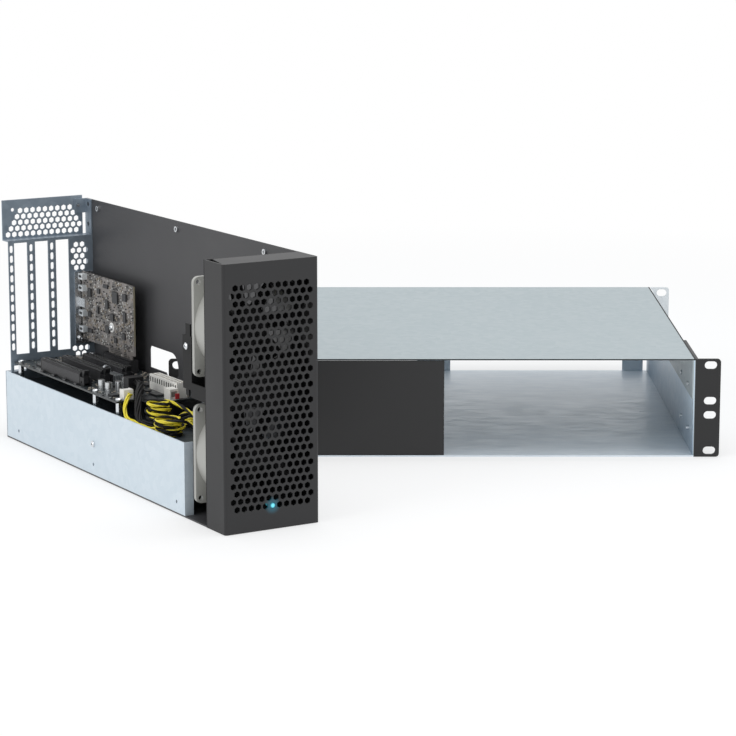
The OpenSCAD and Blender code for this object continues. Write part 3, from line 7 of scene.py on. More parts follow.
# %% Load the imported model
import math
import random

import bmesh
import bpy
from mathutils import Matrix, Vector


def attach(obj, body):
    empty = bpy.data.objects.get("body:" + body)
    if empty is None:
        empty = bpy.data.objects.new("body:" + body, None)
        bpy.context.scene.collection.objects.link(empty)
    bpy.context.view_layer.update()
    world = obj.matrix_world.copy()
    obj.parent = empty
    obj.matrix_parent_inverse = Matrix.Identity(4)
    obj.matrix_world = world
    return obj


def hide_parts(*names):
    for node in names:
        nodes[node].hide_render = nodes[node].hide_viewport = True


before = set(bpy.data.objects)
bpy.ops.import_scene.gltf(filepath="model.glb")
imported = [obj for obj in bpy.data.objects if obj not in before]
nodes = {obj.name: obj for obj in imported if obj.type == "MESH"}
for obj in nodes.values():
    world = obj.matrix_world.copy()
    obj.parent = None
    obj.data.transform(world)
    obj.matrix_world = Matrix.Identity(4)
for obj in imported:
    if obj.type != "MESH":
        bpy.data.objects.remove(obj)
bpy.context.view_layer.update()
scene = bpy.context.scene
MM = 0.001

# %% [markdown]
# ## Where the module stands
# Most new pieces belong to the module, which is turned by 31 degrees. They are easier to place in its own
# directions: u across its face, v back from the face and w up. One matrix turns those millimetres into the
# scene's metres, and it is applied to the mesh, so that each object stays at the origin. The place is fixed
# by one point, the corner of the left rack ear, where the two things come nearest to each other.

# %% Module placement
YAW = math.radians(31.15)
EAR_CORNER = Vector((-241.3, -196.0, 0.0))
NEAREST = Vector((90.5, 269.7, 0.0))
turn = Matrix.Rotation(YAW, 4, "Z")
stand = EAR_CORNER - turn @ NEAREST
TO_SCENE = Matrix.Scale(MM, 4) @ Matrix.Translation(stand) @ turn
to_module = TO_SCENE.inverted()
print("module corner:", tuple(round(c, 4) for c in TO_SCENE.translation))

# %% [markdown]
# ## Camera
# The photograph looks down a little with a long lens. The view was worked out from the rack slots, the card
# slots and the fans, whose sizes are standard. A lens of 130 mm on a 36 mm sensor gives its weak perspective.

# %% Camera
SENSOR_MM, FOCAL_PX, WIDTH_PX = 36.0, 2665, 736
TILT = 10.95
LENS_MM = SENSOR_MM * FOCAL_PX / WIDTH_PX
camera_data = bpy.data.cameras.new("photo_camera")
camera_data.lens = LENS_MM
camera_data.sensor_width = SENSOR_MM
camera_data.clip_end = 50.0
camera = bpy.data.objects.new("photo_camera", camera_data)
camera.location = (-0.0671, -2.4815, 0.5216)
camera.rotation_euler = (math.radians(90 - TILT), 0.0, 0.0)
scene.collection.objects.link(camera)
scene.camera = camera
print("lens:", round(LENS_MM, 1), "mm")

# %% [markdown]
# ## Colours and nodes
# Hex values are read off a colour picker in sRGB, while shaders work in linear light, so one function
# converts them. A second one adds a node with its settings and links, which keeps each material short. The
# last two vary a roughness, and round the sheared edges in the light with a Bevel node, which leaves the CAD
# mesh as it is.

# %% Colour and node helpers


def colour(hex_code):
    """An sRGB hex colour as linear values."""
    parts = [int(hex_code[i : i + 2], 16) / 255 for i in (0, 2, 4)]
    linear = [c / 12.92 if c <= 0.04045 else ((c + 0.055) / 1.055) ** 2.4 for c in parts]
    return (*linear, 1.0)


def add(tree, kind, links=None, **settings):
    """A new node. Settings are its own, or a socket's by name or number (_7); links join sockets to it."""
    node = tree.nodes.new(kind)
    # The node's own settings come first, because some of them change its sockets.
    for key, value in settings.items():
        if hasattr(node, key):
            setattr(node, key, value)
    for key, value in settings.items():
        if not hasattr(node, key):
            name = key.replace("_", " ").strip()
            node.inputs[int(name) if name.isdigit() else name].default_value = value
    for key, source in (links or {}).items():
        tree.links.new(source, node.inputs[key])
    return node


def new_finish(name, base, roughness, metallic=0.0, **more):
    """An empty material with a Principled shader, and its tree, shader and Object coordinates."""
    material = bpy.data.materials.new(name)
    material.use_nodes = True
    tree = material.node_tree
    shader = tree.nodes["Principled BSDF"]
    shader.inputs["Base Color"].default_value = colour(base)
    shader.inputs["Roughness"].default_value = roughness
    shader.inputs["Metallic"].default_value = metallic
    for key, value in more.items():
        shader.inputs[key.replace("_", " ")].default_value = value
    where = tree.nodes.new("ShaderNodeTexCoord").outputs["Object"]
    return material, tree, shader, where


def vary_roughness(tree, shader, value, low, high):
    """Roughness that follows a texture from low to high."""
    rough = add(tree, "ShaderNodeMapRange", {"Value": value}, To_Min=low, To_Max=high)
    tree.links.new(rough.outputs[0], shader.inputs["Roughness"])


def soften(tree, shader, radius_mm, height=None, strength=0.1, depth_mm=0.05):
    """Rounds the edges in the light, over an optional fine bump."""
    normal = add(tree, "ShaderNodeBevel", samples=4, Radius=radius_mm * MM).outputs[0]
    if height is not None:
        links = {"Height": height, "Normal": normal}
        normal = add(tree, "ShaderNodeBump", links, Strength=strength, Distance=depth_mm * MM).outputs[0]
    tree.links.new(normal, shader.inputs["Normal"])


print("helpers ready")

# %% [markdown]
# ## Galvanised sheet
# The enclosure and the module's wall are hot-dip galvanised steel: the zinc freezes in flat crystals, called
# spangle, of 3 to 8 mm, each a slightly different grey. A cell texture gives the crystals. They are kept
# faint, because modern sheet is skin-passed, which rolls the spangle almost flat, and on the floor they are
# stretched along the rolling direction.

# %% Galvanised finishes


def galvanised(name, low, high, roughness, stretch=(1.0, 1.0, 1.0), metallic=0.65):
    """Zinc-coated sheet with crystals of about 6 mm and slow clouds of about 70 mm."""
    material, tree, shader, where = new_finish(name, low, roughness, metallic)
    place = add(tree, "ShaderNodeMapping", {"Vector": where}, Scale=stretch)
    spangle = add(tree, "ShaderNodeTexVoronoi", {"Vector": place.outputs[0]}, Scale=170.0)
    cloud = add(tree, "ShaderNodeTexNoise", {"Vector": place.outputs[0]}, Scale=14.0, Detail=4.0)
    grey = add(tree, "ShaderNodeSeparateColor", {"Color": spangle.outputs["Color"]})
    both = add(tree, "ShaderNodeMix", {2: grey.outputs[0], 3: cloud.outputs["Fac"]}, Factor=0.7)
    ramp = add(tree, "ShaderNodeValToRGB", {"Fac": both.outputs[0]})
    ramp.color_ramp.elements[0].position = 0.25
    ramp.color_ramp.elements[0].color = colour(low)
    ramp.color_ramp.elements[1].position = 0.75
    ramp.color_ramp.elements[1].color = colour(high)
    tree.links.new(ramp.outputs[0], shader.inputs["Base Color"])
    vary_roughness(tree, shader, grey.outputs[1], roughness - 0.05, roughness + 0.05)
    soften(tree, shader, 0.25)
    return material


zinc_lid = galvanised("galvanised_steel_lid", "A1ADB1", "A5B0B4", 0.45, metallic=0.35)
zinc_wall = galvanised("galvanised_steel_module_wall", "C9D6DF", "D3DEE6", 0.42, metallic=0.3)
zinc_floor = galvanised("galvanised_steel_floor", "D9E4EE", "E6EFF6", 0.36, (0.35, 1.6, 1.0), 0.25)
# Painted light: this blue, brighter than the lid's, stands for the light inside the bay.
zinc_side_painted_light = galvanised("galvanised_steel_side_painted_light", "D0E5F4", "DCEBF7", 0.36, metallic=0.3)
# Painted shade: the rear panels are seen from inside the enclosure, so their zinc is painted darker.
zinc_rear_painted_shade = galvanised("galvanised_steel_rear_panel_painted_shade", "7C8894", "8C98A3", 0.42, metallic=0.5)
zinc_ear = galvanised("galvanised_steel_rear_ears", "D5DADD", "DEE3E6", 0.42, metallic=0.2)
# Painted shade: the tray and power supply sit deep in the module, so their zinc is painted dark grey.
zinc_tray_painted_shade = galvanised("galvanised_steel_tray_painted_shade", "3C4349", "4A5259", 0.50)
print("galvanised finishes: 7")

# %% [markdown]
# ## Powder coat
# The module's black sheet and its charcoal bezel are powder coated: the melted powder leaves an orange peel
# of about half a millimetre. Noise at that size makes the bump, and a slower noise varies the gloss a little.

# %% Powder coats


def powder_coat(name, base, roughness, grain_mm=0.5, strength=0.12, **more):
    """Baked powder with its orange peel."""
    material, tree, shader, where = new_finish(name, base, roughness, **more)
    peel = add(tree, "ShaderNodeTexNoise", {"Vector": where}, Scale=1000.0 / grain_mm / 2.0, Detail=2.0)
    slow = add(tree, "ShaderNodeTexNoise", {"Vector": where}, Scale=18.0, Detail=3.0)
    vary_roughness(tree, shader, slow.outputs["Fac"], roughness - 0.06, roughness + 0.06)
    soften(tree, shader, 0.35, peel.outputs["Fac"], strength, 0.1)
    return material


black_coat = powder_coat("black_powder_coat", "3A3A3C", 0.50)
ear_coat = powder_coat("black_powder_coat_ears", "161617", 0.5)
blank_coat = powder_coat("black_powder_coat_blank", "212122", 0.55)
bezel_coat = powder_coat("charcoal_powder_coat_bezel", "19191B", 0.5, 0.6, 0.15)
# Painted shade: the parts inside the module get a darker, duller copy of the black coat.
inner_coat_painted_shade = powder_coat("black_powder_coat_inside_painted_shade", "101011", 0.6, Specular_IOR_Level=0.25)
print("powder coats: 5")

# %% [markdown]
# ## Moulded plastics, plated steel and rubber
# Connectors and rotors are glass-filled nylon or PBT with a satin skin, fan frames are grey PBT, and headers
# are white nylon. Screws and standoffs are zinc plated, which is bright and smooth.

# %% Plastics and plated parts


def moulded(name, base, roughness, grain_mm=0.25, **more):
    """Injection moulded plastic with the fine grain that the tool leaves."""
    material, tree, shader, where = new_finish(name, base, roughness, **more)
    grain = add(tree, "ShaderNodeTexNoise", {"Vector": where}, Scale=1000.0 / grain_mm / 2.0, Detail=1.0)
    soften(tree, shader, 0.15, grain.outputs["Fac"], 0.08, 0.05)
    return material


def plated(name, base, roughness):
    """Bright zinc or tin plating with faint handling marks."""
    material, tree, shader, where = new_finish(name, base, roughness, 1.0)
    marks = add(tree, "ShaderNodeTexNoise", {"Vector": where}, Scale=400.0, Detail=3.0)
    vary_roughness(tree, shader, marks.outputs["Fac"], roughness - 0.08, roughness + 0.1)
    soften(tree, shader, 0.12)
    return material


FAN_TONE = "A4A49F"
fan_grey = moulded("grey_pbt_fan_frame", FAN_TONE, 0.42)
nylon_black = moulded("black_glass_filled_nylon", "19191B", 0.5, Specular_IOR_Level=0.3)
# Painted highlight: ribs and lips are lighter grey than the black nylon, for the light on their edges.
rib_painted_highlight = moulded("black_nylon_ribs", "4A4A4C", 0.36)
rotor_black = moulded("black_pbt_rotor", "101011", 0.6, Specular_IOR_Level=0.2)
nylon_white = moulded("white_nylon_header", "ECEAE4", 0.35)
nylon_red = moulded("red_nylon_key", "B8363A", 0.40)
chip_black = moulded("black_epoxy_chip", "2A2B2D", 0.45, 0.1)
rubber_black = moulded("black_rubber_grommet", "1B1B1B", 0.7)
zinc_bright = plated("bright_zinc_plating", "D8DBDE", 0.25)
tin = plated("tinned_contacts", "C9CBC8", 0.3)
gold = plated("gold_flash_contacts", "D9B45A", 0.25)
can_metal = plated("aluminium_capacitor_can", "CFD2D4", 0.28)
sink_metal = plated("milled_aluminium_sink", "C4C8CB", 0.35)
ceramic = moulded("tan_ceramic_capacitor", "A0978A", 0.4)
print("plastics and metals: 14")

# %% [markdown]
# ## Painted shade inside the fans
# The fans' outer walls are grey. The frame's bore, its spokes and its front face are painted near black, as
# painted shade, so that nothing pale shows through the bezel's holes. Distances in the module's own
# millimetres, from the fan's axis and from the front frame, tell those surfaces from the outer walls. Both fans
# share the material, so the nearer axis counts.

# %% Grey fan frames with painted shade inside
FAN_U, FAN_W = 43.7, (54.3, 156.3)
BORE_EDGE, FRAME_FRONT = 39.0, 31.7


def module_point(tree):
    """The shading point in the module's own millimetres."""
    own = add(
        tree,
        "ShaderNodeMapping",
        {"Vector": tree.nodes["Texture Coordinate"].outputs["Object"]},
        Location=-(turn.inverted() @ stand),
        Rotation=(0.0, 0.0, -YAW),
        Scale=(1 / MM,) * 3,
    )
    return own.outputs[0]


def off_axis(tree, point, u, w):
    """Distance from an axis that runs back from the module's face at u and w."""
    flat = add(tree, "ShaderNodeVectorMath", {0: point}, operation="MULTIPLY", _1=(1.0, 0.0, 1.0))
    gap = add(tree, "ShaderNodeVectorMath", {0: flat.outputs[0]}, operation="DISTANCE", _1=(u, 0.0, w))
    return gap.outputs["Value"]


tree = fan_grey.node_tree
point = module_point(tree)
lower, upper = (off_axis(tree, point, FAN_U, w) for w in FAN_W)
nearer = add(tree, "ShaderNodeMath", {0: lower, 1: upper}, operation="MINIMUM")
bore = add(tree, "ShaderNodeMath", {0: nearer.outputs[0]}, operation="LESS_THAN", _1=BORE_EDGE)
back = add(tree, "ShaderNodeSeparateXYZ", {"Vector": point}).outputs["Y"]
front = add(tree, "ShaderNodeMath", {0: back}, operation="LESS_THAN", _1=FRAME_FRONT)
# Bore, spokes and front face turn near black: painted shade.
painted_shade = add(tree, "ShaderNodeMath", {0: bore.outputs[0], 1: front.outputs[0]}, operation="MAXIMUM")
grey_and_painted_shade = {"_6": colour(FAN_TONE), "_7": colour("18181A")}
painted_shade_tone = add(tree, "ShaderNodeMix", {"Factor": painted_shade.outputs[0]}, data_type="RGBA", **grey_and_painted_shade)
tree.links.new(painted_shade_tone.outputs[2], tree.nodes["Principled BSDF"].inputs["Base Color"])
print("fan frames: grey outside, black inside")

# %% [markdown]
# ## Circuit board
# Black solder mask over copper: the tracks stand 0.035 mm proud, so they show as slightly lighter lines, and
# each via is a small tinned dot. Bricks give runs of parallel tracks, a cell texture gives the vias, and
# noise gives the islands of poured copper. The pattern turns with the module, so a Mapping node turns the
# coordinates back. The host card's mask is grey, and it stands on its long edge.

# %% Circuit boards
TRACK_ROWS = {"Scale": 120.0, "Mortar_Size": 0.06, "Brick_Width": 1.6, "Row_Height": 0.22}
VIA_EDGE = 0.13


def solder_mask(name, base, track, pour, dot, turn_back=(0.0, 0.0, -YAW), via_scale=260.0):
    """Mask over tracks and vias 1 mm wide, both drawn coarser than real ones so that they show."""
    material, tree, shader, where = new_finish(name, base, 0.32)
    flat = add(tree, "ShaderNodeMapping", {"Vector": where}, Rotation=turn_back).outputs[0]
    runs = add(tree, "ShaderNodeTexBrick", {"Vector": flat}, **TRACK_ROWS)
    cloud = add(tree, "ShaderNodeTexNoise", {"Vector": flat}, Scale=90.0, Detail=2.0)
    island = add(tree, "ShaderNodeMapRange", {"Value": cloud.outputs["Fac"]}, From_Min=0.48, From_Max=0.54)
    cells = add(tree, "ShaderNodeTexVoronoi", {"Vector": flat}, Scale=via_scale)
    via = add(tree, "ShaderNodeMath", {0: cells.outputs["Distance"]}, operation="LESS_THAN", _1=VIA_EDGE)
    links = {}
    for mask, hex_code in ((runs.outputs["Fac"], track), (island.outputs[0], pour), (via.outputs[0], dot)):
        links["Factor"] = mask
        mix = add(tree, "ShaderNodeMix", links, data_type="RGBA", _6=colour(base), _7=colour(hex_code))
        links[6] = mix.outputs[2]
    tree.links.new(links[6], shader.inputs["Base Color"])
    soften(tree, shader, 0.1, runs.outputs["Fac"], 0.3, 0.05)
    return material


main_mask = solder_mask("black_solder_mask", "1B1F21", "2A3033", "25292B", "7C8184")
upright = (-math.pi / 2, 0.0, -YAW)
card_mask = solder_mask("grey_solder_mask_card", "3A3735", "5E5A57", "7D7773", "C9C6C0", upright, 150.0)
print("boards: 2")

# %% [markdown]
# ## Finishing the CAD pieces
# A CAD piece whose shape is right only needs its finish, so each node's material slots are filled from one
# table.

# %% Finish of each CAD node
finish_of = {
    "enclosure_lid": zinc_lid,
    "enclosure_floor": zinc_floor,
    "side_wall_left": zinc_side_painted_light,
    "side_wall_right": zinc_side_painted_light,
    "power_bay_wall": zinc_wall,
    "board_tray": zinc_tray_painted_shade,
    "power_supply": zinc_tray_painted_shade,
    "rear_vent_plate": zinc_rear_painted_shade,
    "rear_panel": zinc_rear_painted_shade,
    "rear_lower_panel": zinc_rear_painted_shade,
    "rear_ear_left": zinc_ear,
    "rear_ear_right": zinc_ear,
    "front_ear_left": ear_coat,
    "front_ear_right": ear_coat,
    "blank_panel": blank_coat,
    "base_plate": black_coat,
    "side_panel": black_coat,
    "front_frame": inner_coat_painted_shade,
    "card_retainer": inner_coat_painted_shade,
    "front_bezel": bezel_coat,
    "fan_frame_lower": fan_grey,
    "fan_frame_upper": fan_grey,
    "fan_rotor_lower": rotor_black,
    "fan_rotor_upper": rotor_black,
    "fan_screws": chip_black,
    "m3_screws": zinc_bright,
    "enclosure_screws": zinc_bright,
    "clinch_nuts": zinc_bright,
    "board_standoffs": zinc_bright,
    "host_bracket": zinc_bright,
    "host_ports": tin,
    "mains_inlet": nylon_black,
    "cable_grommet": rubber_black,
    "expansion_board": main_mask,
    "host_card": card_mask,
    "power_header": nylon_white,
    "lead_header": nylon_white,
    "board_plug": nylon_black,
    "capacitors": can_metal,
    "board_chips": chip_black,
    "host_chips": chip_black,
    "heatsink": sink_metal,
    "host_connector": nylon_black,
    "aux_plug_a": nylon_black,
    "aux_plug_b": nylon_black,
}
for number in (1, 2, 3):
    finish_of[f"slot_connector_{number}"] = nylon_black
    finish_of[f"slot_latch_{number}"] = nylon_black


def dress(node, material):
    """Gives a CAD node one finish in all its slots."""
    mesh = nodes[node].data
    if not mesh.materials:
        mesh.materials.append(material)
    for i in range(len(mesh.materials)):
        mesh.materials[i] = material


for node, material in finish_of.items():
    dress(node, material)
print("dressed nodes:", len(finish_of))

# %% [markdown]
# ## Side walls of the enclosure
# Inside the open bay the walls carry painted light: a bluer, brighter tone than the lid's, for the light inside
# the bay, and painted shade that darkens them towards the floor. Their outsides are as grey as the lid. The
# distance from the enclosure's middle tells the outer faces from the inner ones.

# %% Painted light and shade on the side walls
HALF_SHEET, SHADE_TOP = 0.6 * MM, 60 * MM
outermost = max(abs(v.co.x) for v in nodes["side_wall_right"].data.vertices)
tree = zinc_side_painted_light.node_tree
shader = tree.nodes["Principled BSDF"]
place = add(tree, "ShaderNodeSeparateXYZ", {"Vector": tree.nodes["Texture Coordinate"].outputs["Object"]})
away = add(tree, "ShaderNodeMath", {0: place.outputs["X"]}, operation="ABSOLUTE").outputs[0]
outside = add(tree, "ShaderNodeMath", {0: away}, operation="GREATER_THAN", _1=outermost - HALF_SHEET)
limits = {"From_Max": SHADE_TOP, "To_Min": 0.8, "To_Max": 0.0}
# Painted shade: darker and bluer towards the floor.
painted_shade_foot = add(tree, "ShaderNodeMapRange", {"Value": place.outputs["Z"]}, **limits)
links = {"Factor": painted_shade_foot.outputs[0], 6: shader.inputs["Base Color"].links[0].from_socket}
shade = add(tree, "ShaderNodeMix", links, data_type="RGBA", _7=colour("5F7A92"))
links = {"Factor": outside.outputs[0], 6: shade.outputs[2]}
painted_shade_tone = add(tree, "ShaderNodeMix", links, data_type="RGBA", _7=colour("A6B1B7"))
tree.links.new(painted_shade_tone.outputs[2], shader.inputs["Base Color"])
print("outer faces at", round(outermost / MM, 2), "mm")

# %% [markdown]
# ## Light pipe
# A clear moulded rod leads the light of an LED to the bezel's face, where it shows cyan. It is brightest on its
# axis, and a painted cyan glow on the bezel's coat fades out over the nearest 8 mm round it.

# %% Light pipe


def glow_round(tree, hex_code, near, far):
    """Light that fades with the distance from the pipe's axis; near and far are pairs of mm and strength."""
    shader = tree.nodes["Principled BSDF"]
    away = off_axis(tree, module_point(tree), pipe_u, pipe_w)
    limits = {"From_Min": near[0], "From_Max": far[0], "To_Min": near[1], "To_Max": far[1]}
    fade = add(tree, "ShaderNodeMapRange", {"Value": away}, interpolation_type="SMOOTHSTEP", **limits)
    tree.links.new(fade.outputs[0], shader.inputs["Emission Strength"])
    shader.inputs["Emission Color"].default_value = colour(hex_code)


pipe_points = [to_module @ v.co for v in nodes["light_pipe"].data.vertices]
pipe_u, pipe_w = (sum(f(p[i] for p in pipe_points) for f in (min, max)) / 2 for i in (0, 2))
pipe_glow, tree, shader, where = new_finish("clear_light_pipe_lit_cyan", "2B6C7C", 0.3)
glow_round(tree, "6FE0F5", (0.7, 1.1), (2.3, 0.1))
# Painted glow: the bezel's coat itself emits cyan round the pipe.
glow_round(bezel_coat.node_tree, "2A9FBE", (2.5, 0.22), (8.0, 0.0))
core = add(tree, "ShaderNodeTexNoise", {"Vector": where}, Scale=900.0)
soften(tree, shader, 0.1, core.outputs["Fac"], 0.05)
dress("light_pipe", pipe_glow)
print("light pipe at", round(pipe_u, 1), round(pipe_w, 1))

# %% [markdown]
# ## Wires
# Each auxiliary lead is a loose bundle of yellow and black wires, 1.3 mm over the insulation, laid round one
# another with a slow twist. A wire is a tube swept along the lead's centreline with an offset that turns.

# %% Curves through a route's points


def smooth(points, steps):
    """Points of a smooth curve that passes through each point of a route."""
    out = []
    for i in range(len(points) - 1):
        a, b = points[max(i - 1, 0)], points[i]
        c, d = points[i + 1], points[min(i + 2, len(points) - 1)]
        for k in range(steps):
            t = k / steps
            out.append(
                0.5
                * (2 * b + (c - a) * t + (2 * a - 5 * b + 4 * c - d) * t * t + (3 * b - a - 3 * c + d) * t**3)
            )
    return out + [points[-1]]


def lead_path(points, steps=6):
    """A route with straight first and last stretches."""
    points = [Vector(p) for p in points]
    return [points[0]] + smooth(points[1:-1], steps) + [points[-1]]


def coil_path(mid, low, radius, turns, start, way, rings=36):
    """Four layers that spiral in and out again, climbing where the spiral reverses."""
    lead, gap, layers, half = 3.2, 0.5, 4, 0.18
    step = lead + gap
    out = []
    for i in range(int(turns * rings) + 1):
        t = i / rings
        x = t * layers / turns
        fold = abs(x - 2 * math.floor((x + 1) / 2))
        k = math.floor(x + 0.5)
        if 1 <= k <= layers - 1:
            climb = k - 1 + min(1, max(0, (x - k) / (2 * half) + 0.5))
        else:
            climb = 0 if x < 1 else layers - 1
        r = radius - step * turns / layers * fold
        a = math.radians(start + way * 360 * t)
        out.append(Vector((mid[0] + r * math.cos(a), mid[1] + r * math.sin(a), low + step * climb)))
    return out


def length_of(points):
    """Length along a run of points."""
    return sum((b - a).length for a, b in zip(points, points[1:]))


print("path helpers: 4")

# %% [markdown]
# The routes repeat the CAD model's points, so that each lead lies where its solid is: up through the tray's
# hole, into a coil and out to a plug.

# %% Routes of the auxiliary leads
DECK, LEAD, BLACK = 54.0, 3.2, 6.4
GROMMET, CLEAR, PLUG_RISE = 1.4, 0.3, 5.2
TOP = DECK + GROMMET
LYING = DECK + CLEAR + BLACK / 2
A_LOW = DECK + CLEAR + LEAD / 2
B_LOW = LYING + BLACK / 2 + CLEAR + LEAD / 2
PLUG_W = DECK + CLEAR + PLUG_RISE
A_U, A_V, A_RADIUS = 19, 129, 12.5
B_U, B_V, B_RADIUS = 27, 162, 11.2
coil_a = coil_path((A_U, A_V), A_LOW, A_RADIUS, turns=5.5, start=90, way=1)
coil_b = coil_path((B_U, B_V), B_LOW, B_RADIUS, turns=4.75, start=270, way=-1)
along_u, along_v = Vector((LEAD, 0, 0)), Vector((0, LEAD, 0))
a_in = [(53, 132.6, TOP), (53, 132.6, TOP + LEAD), (51, 133.6, 62), (46, 136.4, 61.6), (40, 139.4, 58.4)]
a_in += [(A_U + A_RADIUS + LEAD, A_V + A_RADIUS, A_LOW), coil_a[0] + along_u]
b_in = [(53, 138, TOP), (53, 138, TOP + LEAD), (51.6, 140, 64), (48, 145, 66.4), (43, 149, 65.4)]
b_in += [(B_U + B_RADIUS, B_V - B_RADIUS, B_LOW), coil_b[0] + along_u]
a_out = [coil_a[-1] + along_u, coil_a[-1] + 2 * along_u, (29.6, 115.6, 65.6), (33.4, 112.6, 62.8)]
a_out += [(35, 107.6, 60.4), (35, 98 + LEAD, PLUG_W), (35, 98, PLUG_W)]
b_out = [coil_b[-1] - along_v, coil_b[-1] - 2 * along_v, (39.2, 148, 73), (41, 139, 70.6), (44.4, 131, 66.4)]
b_out += [(49.6, 123.4, 62.4), (55.4, 117, 60.2), (60, 111.6, 59.8)]
b_out += [(60, 106 + LEAD, PLUG_W), (60, 106, PLUG_W)]
lead_a = lead_path(a_in) + coil_a + lead_path(a_out)
lead_b = lead_path(b_in) + coil_b + lead_path(b_out)
print("lead lengths in mm:", round(length_of(lead_a)), round(length_of(lead_b)))

# %% [markdown]
# A sweep needs a frame that doesn't flip. Each frame is the last one with its lengthwise part taken out,
# which is the usual parallel transport, and the wires then turn about it by a chosen angle per millimetre.

# %% Sweep a bundle of wires


def frames_along(points):
    """Each point with two normals across the route at it."""
    out, side = [], None
    for i, p in enumerate(points):
        way = (points[min(i + 1, len(points) - 1)] - points[max(i - 1, 0)]).normalized()
        if side is None:
            side = way.orthogonal()
        side = (side - way * side.dot(way)).normalized()
        out.append((p, side, way.cross(side)))
    return out


def wire_bundle(name, points, wires, offset, wire_d, twist_mm, materials, replaced, sides=7):
    """Wires laid round a centreline; wires lists each one's angle in degrees and its material's index."""
    points = [p for i, p in enumerate(points) if i == 0 or (p - points[i - 1]).length > 0.05]
    frames = frames_along(points)
    mesh = bmesh.new()
    for angle, index in wires:
        run, rings = 0.0, []
        for i, (p, side, up) in enumerate(frames):
            if i:
                run += (p - frames[i - 1][0]).length
            a = math.radians(angle) + 2 * math.pi * run / twist_mm
            centre = p + (side * math.cos(a) + up * math.sin(a)) * offset
            ring = []
            for k in range(sides):
                b = 2 * math.pi * k / sides
                spot = centre + (side * math.cos(b) + up * math.sin(b)) * wire_d / 2
                ring.append(mesh.verts.new(spot))
            rings.append(ring)
        made = [mesh.faces.new(rings[0][::-1]), mesh.faces.new(rings[-1])]
        for low, high in zip(rings, rings[1:]):
            for k in range(sides):
                j = (k + 1) % sides
                made.append(mesh.faces.new((low[k], low[j], high[j], high[k])))
        for face in made:
            face.material_index = index
            face.smooth = True
    return finish_piece(name, mesh, materials, replaced=replaced)


def finish_piece(name, mesh, materials, body="module", replaced=(), place=TO_SCENE):
    """Turns a mesh in module millimetres into a piece of the scene."""
    bmesh.ops.transform(mesh, matrix=place, verts=mesh.verts)
    bmesh.ops.recalc_face_normals(mesh, faces=mesh.faces)
    data = bpy.data.meshes.new(name)
    mesh.to_mesh(data)
    mesh.free()
    for material in materials:
        data.materials.append(material)
    piece = bpy.data.objects.new(name, data)
    scene.collection.objects.link(piece)
    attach(piece, body)
    if replaced:
        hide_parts(*replaced)
    return piece


print("sweep ready")

# %% [markdown]
# ## Painted shade along the lid's edges
# The lid's front edge and the folds at its sides show as dark lines about 1 mm wide, where shadow falls, so
# each gets a thin slab of painted shade.

# %% Painted shade strips on the lid
SHADE_STRIP, PROUD, SUNK = 1.2, 0.08, 0.05
EDGE, EDGE_DROP = 1.0, 0.1
lid_points = [v.co / MM for v in nodes["enclosure_lid"].data.vertices]
low = [min(p[i] for p in lid_points) for i in range(3)]
high = [max(p[i] for p in lid_points) for i in range(3)]
shade_strips = bmesh.new()
for x0, y0, z0, x1, y1, z1 in (
    (low[0], low[1] - EDGE_DROP, high[2] - EDGE_DROP - EDGE, high[0], low[1], high[2] - EDGE_DROP),
    (low[0], low[1], high[2] - SUNK, low[0] + SHADE_STRIP, high[1], high[2] + PROUD),
    (high[0] - SHADE_STRIP, low[1], high[2] - SUNK, high[0], high[1], high[2] + PROUD),
):
    middle = Matrix.Translation(((x0 + x1) / 2, (y0 + y1) / 2, (z0 + z1) / 2))
    bmesh.ops.create_cube(shade_strips, size=1.0, matrix=middle @ Matrix.Diagonal((x1 - x0, y1 - y0, z1 - z0, 1.0)))
# Painted shade: near black strips for the shadow along the lid's front edge and side folds.
painted_shade_edge = powder_coat("shadowed_sheet_edge", "16191A", 0.6, Specular_IOR_Level=0.2)
finish_piece("lid_painted_shade_strips", shade_strips, [painted_shade_edge], "enclosure", place=Matrix.Scale(MM, 4))
print("lid from", [round(c, 1) for c in low], "to", [round(c, 1) for c in high])

# %% [markdown]
# ## Auxiliary leads
# Each has two yellow and two black wires, as the power leads of a graphics card do, laid 30 to 34 mm to a
# turn.

# %% Auxiliary leads
wire_yellow = moulded("yellow_pvc_wire", "E2D132", 0.38)
wire_black = moulded("black_pvc_wire", "0E0E0F", 0.55, Specular_IOR_Level=0.3)
four = [(0, 0), (90, 0), (180, 1), (270, 1)]
both = [wire_yellow, wire_black]
pieces_a, pieces_b = ([f"aux_lead_{x}_tube", f"aux_lead_{x}_coil"] for x in "ab")
laid = {"wires": four, "offset": 0.86, "wire_d": 1.34, "materials": both}
piece_a = wire_bundle("aux_lead_a", lead_a, twist_mm=34, replaced=pieces_a, **laid)
piece_b = wire_bundle("aux_lead_b", lead_b, twist_mm=30, replaced=pieces_b, **laid)
print("auxiliary leads: 2")

# %% [markdown]
# ## Held leads
# Two leads run from the board down to the tray's hole. The yellow one is three yellow wires, and the black
# one is a bundle of six.

